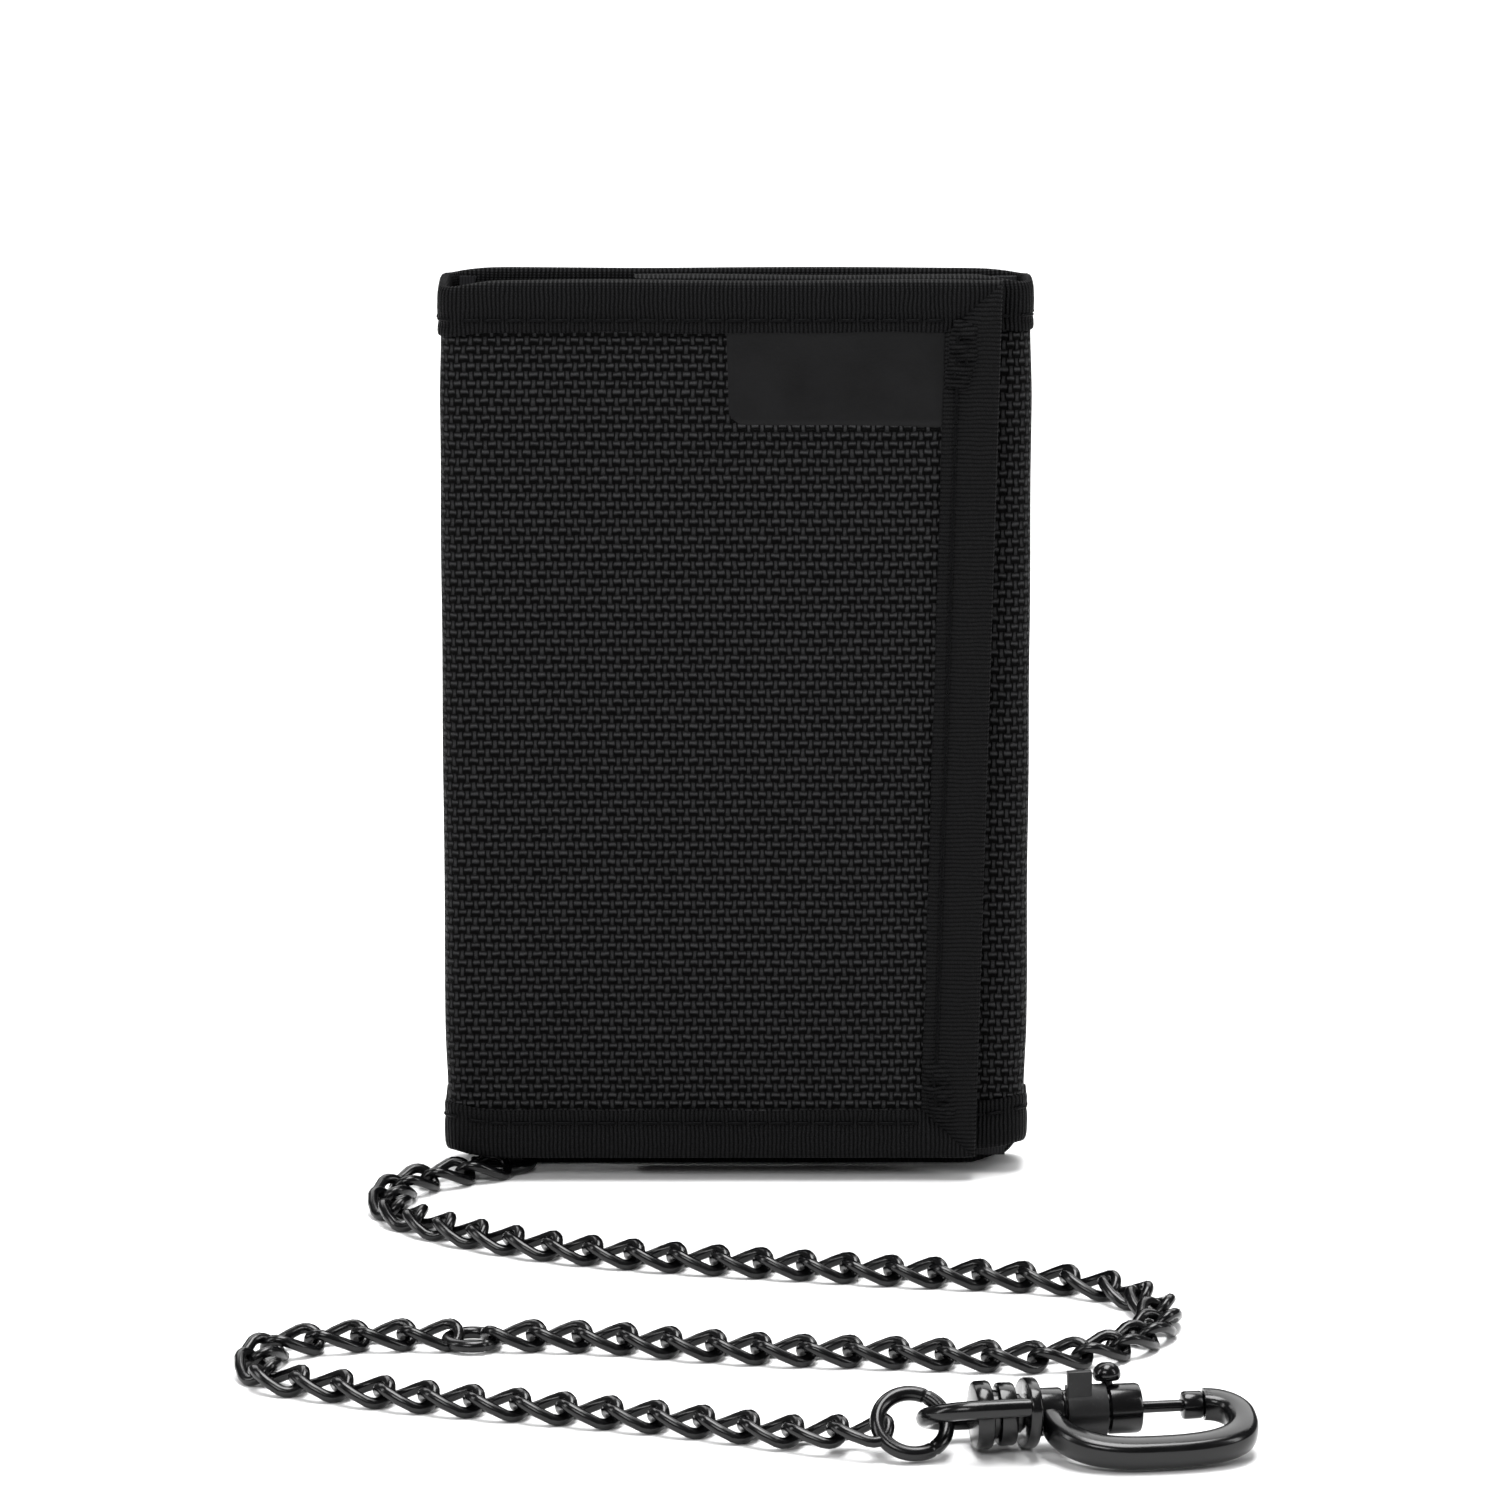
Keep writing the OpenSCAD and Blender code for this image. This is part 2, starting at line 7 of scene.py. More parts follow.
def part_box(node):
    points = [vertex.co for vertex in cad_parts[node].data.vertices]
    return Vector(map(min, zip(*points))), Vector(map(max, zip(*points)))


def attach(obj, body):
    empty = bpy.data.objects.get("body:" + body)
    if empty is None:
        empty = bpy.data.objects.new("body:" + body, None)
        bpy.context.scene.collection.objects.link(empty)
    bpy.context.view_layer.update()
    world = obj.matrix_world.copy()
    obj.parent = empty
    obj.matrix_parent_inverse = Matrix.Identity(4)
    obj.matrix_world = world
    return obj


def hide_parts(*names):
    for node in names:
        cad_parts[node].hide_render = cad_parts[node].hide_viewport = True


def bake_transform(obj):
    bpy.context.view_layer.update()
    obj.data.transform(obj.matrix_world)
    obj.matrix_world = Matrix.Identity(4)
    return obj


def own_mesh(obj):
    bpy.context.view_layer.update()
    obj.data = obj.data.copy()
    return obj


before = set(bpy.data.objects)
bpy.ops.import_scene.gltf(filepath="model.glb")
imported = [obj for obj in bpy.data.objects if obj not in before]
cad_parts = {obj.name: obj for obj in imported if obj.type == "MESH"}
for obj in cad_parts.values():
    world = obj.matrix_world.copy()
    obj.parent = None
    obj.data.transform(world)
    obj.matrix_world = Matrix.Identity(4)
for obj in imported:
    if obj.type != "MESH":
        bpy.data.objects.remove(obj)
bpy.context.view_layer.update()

mm = 0.001

# ---- Studio -------------------------------------------------------------------------
# A large pale table with one broad softbox overhead and two cards at the sides, and a
# long lens that looks a little down on the standing wallet.

camera_data = bpy.data.cameras.new("camera")
camera_data.lens = 168.3
camera_data.sensor_width = 36
camera_data.clip_end = 50
camera = bpy.data.objects.new("camera", camera_data)
camera.location = (1.9 * mm, -958 * mm, 264 * mm)
camera.rotation_euler = (math.radians(78), 0, 0)
bpy.context.collection.objects.link(camera)
bpy.context.scene.camera = camera
bpy.context.scene.view_settings.view_transform = "Standard"


def softbox(name, place, width, height, watts, target=(0, -0.03, 0.05)):
    """An area light that faces the middle of the wallet, or another target."""
    data = bpy.data.lights.new(name, "AREA")
    data.shape = "RECTANGLE"
    data.size = width
    data.size_y = height
    data.energy = watts
    light = bpy.data.objects.new(name, data)
    light.location = place
    aim = Vector(target) - Vector(place)
    light.rotation_euler = aim.to_track_quat("-Z", "Y").to_euler()
    bpy.context.collection.objects.link(light)


softbox("overhead_softbox", (0.05, -0.05, 1.1), 0.75, 0.5, 19)
softbox("front_card", (-0.45, -1.25, 0.95), 0.6, 0.4, 8)
softbox("left_card", (-1.0, -0.35, 0.55), 0.2, 0.8, 4)
softbox("right_card", (1.0, -0.45, 0.6), 0.2, 0.8, 4)
softbox("backdrop_wash", (0.0, 2.0, 1.7), 3.0, 2.4, 75, (0.0, 2.05, 0.0))

world = bpy.data.worlds.new("studio")
world.use_nodes = True
dim = world.node_tree.nodes["Background"]
dim.inputs["Color"].default_value = (1, 1, 1, 1)
dim.inputs["Strength"].default_value = 0.16
backdrop = world.node_tree.nodes.new("ShaderNodeBackground")
backdrop.inputs["Strength"].default_value = 1.0
seen = world.node_tree.nodes.new("ShaderNodeLightPath")
either = world.node_tree.nodes.new("ShaderNodeMixShader")
world.node_tree.links.new(seen.outputs["Is Camera Ray"], either.inputs[0])
world.node_tree.links.new(dim.outputs[0], either.inputs[1])
world.node_tree.links.new(backdrop.outputs[0], either.inputs[2])
world.node_tree.links.new(either.outputs[0],
    world.node_tree.nodes["World Output"].inputs["Surface"])
bpy.context.scene.world = world


def deselect():
    """Leaves object mode's selection empty, so that the next operator acts on new work only."""
    for other in bpy.context.selected_objects:
        other.select_set(False)


def new_material(name):
    """A material with its node tree and its Principled shader."""
    made = bpy.data.materials.new(name)
    made.use_nodes = True
    tree = made.node_tree
    return made, tree, tree.nodes["Principled BSDF"]


def maths(tree, operation, *values):
    """One Math node. Sockets are linked and numbers are set."""
    made = tree.nodes.new("ShaderNodeMath")
    made.operation = operation
    for socket, value in zip(made.inputs, values):
        if isinstance(value, (int, float)):
            socket.default_value = value
        else:
            tree.links.new(value, socket)
    return made.outputs[0]


def ramp(tree, factor, low, high):
    """Two greys or colours mixed by a factor that changes over the surface."""
    made = tree.nodes.new("ShaderNodeMix")
    made.data_type = "RGBA"
    made.inputs["A"].default_value = (*low, 1)
    made.inputs["B"].default_value = (*high, 1)
    tree.links.new(factor, made.inputs["Factor"])
    return made.outputs["Result"]


def noise(tree, place, scale, detail=2.0):
    """Noise over the given coordinates."""
    made = tree.nodes.new("ShaderNodeTexNoise")
    made.inputs["Scale"].default_value = scale
    made.inputs["Detail"].default_value = detail
    tree.links.new(place, made.inputs["Vector"])
    return made.outputs["Fac"]


def coordinates(tree, kind):
    """Object or UV coordinates, both in metres on these pieces."""
    return tree.nodes.new("ShaderNodeTexCoord").outputs[kind]


def bump(tree, shader, height, distance, strength=1.0):
    """Relief of the given depth in metres."""
    made = tree.nodes.new("ShaderNodeBump")
    made.inputs["Distance"].default_value = distance
    made.inputs["Strength"].default_value = strength
    tree.links.new(height, made.inputs["Height"])
    tree.links.new(made.outputs["Normal"], shader.inputs["Normal"])


def coloured(tree, shader, factor, low, high, roughness, shine=0.5):
    """Two greys mixed by a factor, with a roughness, which is a number or a socket."""
    tree.links.new(ramp(tree, factor, low, high), shader.inputs["Base Color"])
    if isinstance(roughness, float):
        shader.inputs["Roughness"].default_value = roughness
    else:
        tree.links.new(roughness, shader.inputs["Roughness"])
    shader.inputs["Specular IOR Level"].default_value = shine


def dress(piece, made):
    """Puts one material on a piece."""
    piece.data.materials.clear()
    piece.data.materials.append(made)


table_top, tree, shader = new_material("pale_table")
cloud = noise(tree, coordinates(tree, "Object"), 3.0)
coloured(tree, shader, cloud, (0.86, 0.86, 0.865), (0.9, 0.9, 0.9), 0.6, 0.2)
deselect()
bpy.ops.mesh.primitive_plane_add(size=10)
floor = bpy.context.object
floor.name = "table"
dress(floor, table_top)

# ---- Chain --------------------------------------------------------------------------
# Two runs of twisted curb chain, of 1.5 mm wire plated gloss black. Every link is the
# same: an oval whose two ends are turned against each other, so that the chain lies flat.

chain_width = 5.6 * mm
chain_height = 3.4 * mm
chain_wire = 1.5 * mm
chain_rest = chain_height / 2
link_pitch = 5.9 * mm
link_twist = math.radians(44)
long_points = 26
route_height = 1.5 * mm
route_mm = [
    (-34.5, -5.5, 1.5), (-40, -9, 1.5), (-45.5, -14, 1.5),
    (-48, -21, 1.5), (-46.5, -28.5, 1.5), (-41.5, -35, 1.5),
    (-34, -41, 1.5), (-25, -46, 1.5), (-14, -50, 1.5),
    (-2, -53, 1.5), (10, -55.5, 1.5), (22, -58, 1.5),
    (34, -60, 1.5), (43, -62, 1.5), (50, -66, 1.5),
    (54.5, -73, 1.5), (55, -81, 1.5), (51.5, -89, 1.5),
    (45.5, -94.5, 1.5), (38, -97, 1.5), (30, -96.5, 1.5),
    (18, -95, 1.5), (6, -94, 1.5), (-6, -91.5, 1.5),
    (-18, -88.5, 1.5), (-30.5, -87.5, 1.5),
    (-37.5, -87.5, 1.5), (-44.5, -87.5, 1.5), (-51.5, -88.5, 1.5),
    (-58.5, -91.5, 1.5), (-61, -98.5, 1.5), (-58.5, -105.5, 1.5),
    (-51.5, -109, 1.5), (-44, -112.5, 1.5), (-35, -115.5, 1.5),
    (-24, -118.5, 1.5), (-12, -122, 1.5), (-2, -125.5, 1.5),
    (7, -129.5, 1.8), (15.5, -133, 3.0)]
route = [Vector(point) * mm for point in route_mm]


def smooth_route(points, steps):
    """A curve through all the points, with the given steps between each two."""
    ends = [2 * points[0] - points[1], *points, 2 * points[-1] - points[-2]]
    made = []
    for before, here, there, after in zip(ends, ends[1:], ends[2:], ends[3:]):
        for step in range(steps):
            t = step / steps
            made.append(0.5 * (2 * here + (there - before) * t
                + (2 * before - 5 * here + 4 * there - after) * t * t
                + (3 * here - before - 3 * there + after) * t ** 3))
    made.append(points[-1])
    return made


def spaced(points, first, last, pitch):
    """Evenly spaced places on a curve, from first after its start to last before its end."""
    total = sum((there - here).length for here, there in zip(points, points[1:]))
    count = round((total - first - last) / pitch)
    due = [first + (total - first - last) * index / count for index in range(count + 1)]
    made = []
    walked = 0.0
    for here, there in zip(points, points[1:]):
        length = (there - here).length
        while due and length and due[0] <= walked + length + 1e-9:
            made.append((here.lerp(there, (due.pop(0) - walked) / length),
                (there - here).normalized()))
        walked += length
    return made, total


def effect(name, inputs, outputs):
    """A shader node group with value outputs, and its first and last nodes."""
    made = bpy.data.node_groups.new(name, "ShaderNodeTree")
    for socket in inputs:
        kind = "NodeSocketVector" if socket == "Place" else "NodeSocketFloat"
        made.interface.new_socket(socket, in_out="INPUT", socket_type=kind)
    for socket in outputs:
        made.interface.new_socket(socket, in_out="OUTPUT", socket_type="NodeSocketFloat")
    return made, made.nodes.new("NodeGroupInput"), made.nodes.new("NodeGroupOutput")


def applied(tree, group, kind, sizes):
    """One effect laid over Object or UV coordinates with its sizes set, and what it puts out."""
    made = tree.nodes.new("ShaderNodeGroup")
    made.node_tree = group
    tree.links.new(coordinates(tree, kind), made.inputs["Place"])
    for size, value in sizes.items():
        made.inputs[size].default_value = value
    return made.outputs


gloss_metal, entry, leave = effect("plated_surface", ["Place", "Base Roughness"],
    ["Roughness", "Wear", "Height"])
smudge = noise(gloss_metal, entry.outputs["Place"], 260, 3)
speck = noise(gloss_metal, entry.outputs["Place"], 2600, 2)
rough = maths(gloss_metal, "MULTIPLY_ADD", smudge, 0.22, entry.outputs["Base Roughness"])
gloss_metal.links.new(rough, leave.inputs["Roughness"])
worn = maths(gloss_metal, "SMOOTH_MAX", maths(gloss_metal, "SUBTRACT", speck, 0.6), 0.0, 0.05)
gloss_metal.links.new(maths(gloss_metal, "MULTIPLY", worn, 2.0), leave.inputs["Wear"])
gloss_metal.links.new(maths(gloss_metal, "MULTIPLY_ADD", speck, 0.3, smudge), leave.inputs["Height"])


def plated(name, dark, light, roughness, metallic, coat):
    """Black plated metal with smudges, specks of wear and a very fine unevenness."""
    made, tree, shader = new_material(name)
    surface = applied(tree, gloss_metal, "Object", {"Base Roughness": roughness})
    coloured(tree, shader, surface["Wear"], dark, light, surface["Roughness"], 0.3)
    bump(tree, shader, surface["Height"], 0.00003, 0.5)
    shader.inputs["Metallic"].default_value = metallic
    shader.inputs["Coat Weight"].default_value = coat
    shader.inputs["Coat Roughness"].default_value = 0.12
    return made


plating_dark = (0.0015, 0.0015, 0.0018)
plating_light = (0.011, 0.011, 0.012)
chain_black = plated("chain_black", plating_dark, plating_light, 0.12, 0.0, 0.08)


def oval_rings(half_length, half_width, wire, twist, steps, sides):
    """Rings of wire round one link's oval, each end of it turned by the twist."""
    straight = half_length - half_width
    centres = []
    for step in range(steps):
        t = 2 * math.pi * step / steps
        reach = min(1, abs(math.cos(t)) * 4)
        x = half_width * math.cos(t) + math.copysign(straight, math.cos(t)) * reach
        y = half_width * math.sin(t)
        turn = twist * x / half_length
        centres.append(Vector((x, y * math.cos(turn), y * math.sin(turn))))
    rings = []
    for step in range(steps):
        ahead = (centres[(step + 1) % steps] - centres[step - 1]).normalized()
        outward = Vector((centres[step].x * 0.3, centres[step].y, centres[step].z))
        outward = (outward - ahead * outward.dot(ahead)).normalized()
        up = ahead.cross(outward)
        rings.append([centres[step] + (outward * math.cos(2 * math.pi * k / sides)
            + up * math.sin(2 * math.pi * k / sides)) * wire / 2 for k in range(sides)])
    return rings


def joined(name, pieces):
    """Several meshes as one piece."""
    deselect()
    for piece in pieces:
        piece.select_set(True)
    bpy.context.view_layer.objects.active = pieces[0]
    bpy.ops.object.join()
    bpy.context.object.name = name
    return bpy.context.object


def fitted(piece, made, body, slot, *nodes):
    """Puts a material on a piece, rides it on a body and has it stand for these frame nodes."""
    dress(piece, made)
    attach(piece, body)
    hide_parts(*nodes)


deselect()
link_steps = 28
link_sides = 10
bpy.ops.mesh.primitive_torus_add(
    major_segments=link_steps, minor_segments=link_sides,
    major_radius=2.4 * mm, minor_radius=chain_wire / 2)
link = bpy.context.object
half_link = (link_pitch + chain_wire) / 2
half_link_width = (chain_width + 0.6 * mm - chain_wire) / 2
link_rings = oval_rings(half_link, half_link_width, chain_wire, link_twist, link_steps, link_sides)
for index, vertex in enumerate(link.data.vertices):
    vertex.co = link_rings[index // link_sides][index % link_sides]
tallest = max(abs(vertex.co.z) for vertex in link.data.vertices)
for vertex in link.data.vertices:
    vertex.co.z *= chain_rest / tallest

long_run = smooth_route(route[:long_points], 8)
short_run = smooth_route(route[long_points:], 8)
long_places, long_length = spaced(long_run, 1.3 * mm, 1.9 * mm, link_pitch)
short_places, short_length = spaced(short_run, 1.9 * mm, 0.0, link_pitch)
places = long_places + short_places
links = []
for place, ahead in places:
    copy = bpy.data.objects.new("link", link.data.copy())
    bpy.context.collection.objects.link(copy)
    across = Vector((-ahead.y, ahead.x, 0)).normalized()
    turn = Matrix((ahead, across, ahead.cross(across))).transposed().to_4x4()
    raised = place + Vector((0, 0, chain_rest - route_height))
    copy.data.transform(Matrix.Translation(raised) @ turn)
    links.append(copy)
bpy.data.objects.remove(link)
chain = joined("curb_chain", links)
bpy.ops.object.mode_set(mode="EDIT")
bpy.ops.mesh.select_all(action="SELECT")
bpy.ops.mesh.normals_make_consistent(inside=False)
bpy.ops.object.mode_set(mode="OBJECT")
bpy.ops.object.shade_smooth()
fitted(chain, chain_black, "wallet", "black_chain_metal", "chain_long", "chain_short")

# ---- Rings --------------------------------------------------------------------------
# Bent wire rings of the chain's own finish: the joining ring part way along, and the
# large ring that carries the swivel. Each has the fine line where its ends meet.

small_wire = 1.6 * mm
ring_wire = 1.9 * mm
ring_radius = 4.3 * mm
ring_lean = math.radians(42)
axis_height = 4.8 * mm
hook_frame_at = Matrix.Translation((22.3 * mm, -133 * mm, axis_height)) @ Matrix.Rotation(
    math.radians(9), 4, "Z")


def wire_ring(name, radius, wire, place):
    """A round ring of wire, with the narrow groove where its ends meet."""
    deselect()
    bpy.ops.mesh.primitive_torus_add(
        major_segments=96, minor_segments=16, major_radius=radius, minor_radius=wire / 2)
    ring = bpy.context.object
    ring.name = name
    for vertex in ring.data.vertices:
        angle = math.atan2(vertex.co.y, vertex.co.x)
        if abs(abs(angle) - math.radians(60)) < math.radians(2):
            middle = Vector((math.cos(angle), math.sin(angle), 0)) * radius
            vertex.co = middle + (vertex.co - middle) * 0.86
    ring.data.transform(place)
    bpy.ops.object.shade_smooth()
    return ring


joining_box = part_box("joining_ring")
joining_middle = (Vector(joining_box[0]) + Vector(joining_box[1])) / 2
joining_ring = wire_ring("joining_link", 3.2 * mm, small_wire, Matrix.Translation(joining_middle))
fitted(joining_ring, chain_black, "wallet", "black_chain_metal", "joining_ring")

ring_rise = ring_radius * math.sin(ring_lean) + ring_wire / 2 + 0.3 * mm - axis_height
jump_ring = wire_ring("large_ring", ring_radius, ring_wire,
    hook_frame_at @ Matrix.Translation((-0.5 * mm, 0, ring_rise)) @ Matrix.Rotation(ring_lean, 4, "X"))
fitted(jump_ring, chain_black, "wallet", "black_chain_metal", "jump_ring")

# ---- Swivel -------------------------------------------------------------------------
# A forged bail whose legs are riveted into an oval plate. A turned spool hangs in the
# bail, and its stem passes through the plate into the hook, so that the hook can spin.


def sweep(name, rings, marks=None):
    """A grid shaped into a tube through closed rings of points, with its ends filled in.
    marks gives each point's place on the material, in metres."""
    deselect()
    count = len(rings)
    width = len(rings[0]) + 1
    bpy.ops.mesh.primitive_grid_add(x_subdivisions=count - 1, y_subdivisions=width - 1, size=2)
    piece = bpy.context.object
    piece.name = name
    mesh = piece.data
    if marks is None:
        middles = [sum(ring, Vector()) / len(ring) for ring in rings]
        along = [0.0]
        for here, there in zip(middles, middles[1:]):
            along.append(along[-1] + (there - here).length)
        around = [0.0]
        for here, there in zip(rings[0], [*rings[0][1:], rings[0][0]]):
            around.append(around[-1] + (there - here).length)
        marks = [[(u, v) for v in around] for u in along]
    spot = [(round((v.co.x + 1) / 2 * (count - 1)), round((v.co.y + 1) / 2 * (width - 1)))
        for v in mesh.vertices]
    layer = mesh.uv_layers[0].data
    for corner in mesh.loops:
        i, j = spot[corner.vertex_index]
        layer[corner.index].uv = marks[i][j % len(marks[i])]
    for vertex, (i, j) in zip(mesh.vertices, spot):
        vertex.co = rings[i][j % (width - 1)]
    bpy.ops.object.mode_set(mode="EDIT")
    bpy.ops.mesh.select_all(action="SELECT")
    bpy.ops.mesh.remove_doubles(threshold=1e-7)
    bpy.ops.mesh.fill_holes(sides=0)
    bpy.ops.mesh.select_all(action="SELECT")
    bpy.ops.mesh.normals_make_consistent(inside=False)
    bpy.ops.object.mode_set(mode="OBJECT")
    bpy.ops.object.shade_smooth_by_angle(angle=math.radians(35))
    return piece


def turned(name, outline, place, sides=40):
    """A piece turned on a lathe: the outline gives distance along the axis and radius, in millimetres."""
    rings = [[place @ Vector((u * mm, r * mm * math.cos(2 * math.pi * k / sides),
        r * mm * math.sin(2 * math.pi * k / sides))) for k in range(sides)] for u, r in outline]
    return sweep(name, rings)


hook_black = plated("hook_black", plating_dark, plating_light, 0.1, 0.0, 0.1)

bail_place = hook_frame_at @ Matrix.Rotation(math.radians(-24), 4, "X")
bail_half = 5.7
bail_wire = 1.15
crown = bail_half + bail_wire
bail_line = [(u, bail_half) for u in (13.2, 11.5, 9.5, 7.6)]
bail_line += [(crown + bail_half * math.cos(math.radians(a)), bail_half * math.sin(math.radians(a)))
    for a in range(90, 271, 9)]
bail_line += [(u, -bail_half) for u in (7.6, 9.5, 11.5, 13.2)]
bail_rings = []
for index, (u, y) in enumerate(bail_line):
    before = bail_line[max(index - 1, 0)]
    after = bail_line[min(index + 1, len(bail_line) - 1)]
    ahead = Vector((after[0] - before[0], after[1] - before[1], 0)).normalized()
    outward = Vector((ahead.y, -ahead.x, 0))
    bail_rings.append([bail_place @ ((Vector((u, y, 0)) + (outward * math.cos(k * math.pi / 8)
        + Vector((0, 0, 1)) * math.sin(k * math.pi / 8)) * bail_wire) * mm) for k in range(16)])
bail = sweep("bail", bail_rings)
fitted(bail, hook_black, "wallet", "black_hook_metal", "swivel_bail")


def work_on(piece):
    """Makes one piece the one that the next operators act on."""
    deselect()
    piece.select_set(True)
    bpy.context.view_layer.objects.active = piece


def softened(name, node, width, angle=40):
    """A copy of a frame node with its sharp edges eased, for a cast or turned piece."""
    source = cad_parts[node]
    piece = bpy.data.objects.new(name, source.data.copy())
    bpy.context.collection.objects.link(piece)
    work_on(piece)
    bpy.ops.object.mode_set(mode="EDIT")
    bpy.ops.mesh.select_all(action="SELECT")
    bpy.ops.mesh.remove_doubles(threshold=1e-6)
    bpy.ops.mesh.dissolve_limited(angle_limit=math.radians(1))
    bpy.ops.object.mode_set(mode="OBJECT")
    easing = piece.modifiers.new("easing", "BEVEL")
    easing.width = width
    easing.segments = 3
    easing.limit_method = "ANGLE"
    easing.angle_limit = math.radians(angle)
    bpy.ops.object.modifier_apply(modifier="easing")
    bpy.ops.object.shade_smooth_by_angle(angle=math.radians(40))
    return piece


plate = softened("bail_plate", "swivel_plate", 0.3 * mm)
fitted(plate, hook_black, "wallet", "black_hook_metal", "swivel_plate")

spool = turned("spool", [
    (6.95, 0.3), (7.0, 3.6), (7.1, 4.0), (7.4, 4.22), (8.8, 4.25), (9.1, 4.1), (9.2, 3.9),
    (9.25, 3.0), (9.95, 3.0), (10.0, 3.6), (10.15, 3.85), (10.4, 3.9), (11.8, 3.9),
    (12.1, 3.75), (12.2, 3.4), (12.22, 2.4), (12.9, 2.4), (12.92, 1.58), (16.3, 1.55),
    (16.35, 0.3)], hook_frame_at)
fitted(spool, hook_black, "hook", "black_hook_metal", "swivel_spool")

# ---- Snap hook ----------------------------------------------------------------------
# The body is one casting: a neck and a bored barrel for the plunger, and a flat bow that
# swings out and comes back to meet the plunger's nose. Its edges are rounded and polished.

hook_tilt = math.radians(13.3)
hook_place = hook_frame_at @ Matrix.Rotation(hook_tilt, 4, "X")
bow_middle = (15.0 + 41.8) / 2
bow_outer = (13.4, 12.7)
eye_middle = 27.9
bow_inner = (10.2, 8.9)
bow_thickness = 3.6


def rounded_bar(inner, outer, thickness, place, sides=20):
    """One ring of a bar with full round edges, between an inner and an outer point."""
    middle = (inner + outer) / 2
    half = (outer - inner) / 2
    ring = []
    for k in range(sides):
        t = 2 * math.pi * k / sides
        c, s = math.cos(t), math.sin(t)
        wide = math.copysign(abs(c) ** 0.62, c)
        tall = math.copysign(abs(s) ** 0.62, s)
        spot = middle + half * wide
        ring.append(place @ (Vector((spot.x, spot.y, tall * thickness / 2)) * mm))
    return ring


def smooth_step(value):
    """0 below 0, 1 above 1, and an even change between."""
    t = min(1.0, max(0.0, value))
    return t * t * (3 - 2 * t)


def squared(value, fullness=0.74):
    """A sine or cosine pushed outwards, for a bow that is fuller than an ellipse."""
    return math.copysign(abs(value) ** fullness, value)


tip_drop = 4.0
bow_rings = []
for a in range(176, -1, -4):
    t = math.radians(a)
    drop = tip_drop if a < 90 else 0
    bow_rings.append(rounded_bar(
        Vector((eye_middle + bow_inner[0] * squared(math.cos(t)),
            -drop - (bow_inner[1] - drop) * squared(math.sin(t)))),
        Vector((bow_middle + bow_outer[0] * squared(math.cos(t)),
            -drop - (bow_outer[1] - drop) * squared(math.sin(t)))),
        bow_thickness, hook_place))
for a in range(6, 91, 6):
    t = math.radians(a)
    bow_rings.append(rounded_bar(
        Vector((36.0 + 2.1 * math.cos(t), -tip_drop + 2.2 * math.sin(t))),
        Vector((36.1 + 5.7 * math.cos(t), -tip_drop + 5.86 * math.sin(t))),
        bow_thickness, hook_place))
bow = sweep("bow", bow_rings)
bow_tip = turned("bow_tip", [
    (35.9, 0.25), (35.92, 1.4), (36.0, 1.65), (36.2, 1.8), (36.7, 1.84), (37.3, 1.75),
    (38.1, 1.2), (38.5, 0.25)], hook_place)

barrel = turned("barrel", [
    (14.98, 1.6), (15.0, 2.7), (15.25, 3.0), (17.8, 3.0), (18.15, 2.85), (18.2, 2.6),
    (23.8, 2.6), (23.82, 2.9), (24.05, 3.1), (27.5, 3.1), (27.85, 2.95), (28.0, 2.6),
    (28.0, 1.0), (27.0, 0.92), (26.9, 1.85), (17.0, 1.85), (16.7, 1.6)], hook_place, 48)


def cut_box(piece, place):
    """Takes a unit cube, put in its place and stretched, out of a piece."""
    deselect()
    bpy.ops.mesh.primitive_cube_add(size=1)
    cutter = bpy.context.object
    cutter.data.transform(place)
    saw = piece.modifiers.new("cut", "BOOLEAN")
    saw.operation = "DIFFERENCE"
    saw.solver = "EXACT"
    saw.object = cutter
    work_on(piece)
    bpy.ops.object.modifier_apply(modifier="cut")
    bpy.data.objects.remove(cutter)


cut_box(barrel, hook_frame_at @ Matrix.Rotation(math.radians(-12), 4, "X")
    @ Matrix.Translation((21.9 * mm, 0, 3 * mm)) @ Matrix.Diagonal((5.9 * mm, 1.7 * mm, 5 * mm, 1)))
hook_body = joined("hook_casting", [bow, bow_tip, barrel])
bpy.ops.object.shade_smooth_by_angle(angle=math.radians(40))
fitted(hook_body, hook_black, "hook", "black_hook_metal", "hook_frame")

plunger = turned("plunger", [
    (22.9, 0.3), (22.92, 1.55), (23.05, 1.7), (25.0, 1.7), (25.1, 1.5), (25.12, 0.76),
    (33.25, 0.74), (33.3, 1.45), (33.4, 1.66), (33.6, 1.75), (35.6, 1.75), (35.74, 1.66),
    (35.79, 1.5), (35.8, 0.3)], hook_frame_at)
fitted(plunger, hook_black, "plunger", "black_hook_metal", "plunger_rod")

knob_place = (hook_frame_at @ Matrix.Rotation(math.radians(-12), 4, "X")
    @ Matrix.Translation((24 * mm, 0, 0)) @ Matrix.Rotation(math.radians(-90), 4, "Y"))
knob = turned("thumb_stud", [
    (0.05, 0.2), (0.1, 0.7), (3.46, 0.7), (3.5, 1.35), (3.62, 1.55), (4.0, 1.74), (4.4, 1.77),
    (4.85, 1.66), (5.25, 1.4), (5.58, 1.0), (5.76, 0.55), (5.8, 0.2)], knob_place, 32)
fitted(knob, hook_black, "plunger", "black_hook_metal", "thumb_knob")

collar_black = plated("collar_black", (0.009, 0.009, 0.0095), (0.03, 0.03, 0.031), 0.3, 0.0, 0.05)
collar = softened("turning_collar", "lock_collar", 0.12 * mm)
fitted(collar, collar_black, "lock_collar", "dark_collar_metal", "lock_collar")

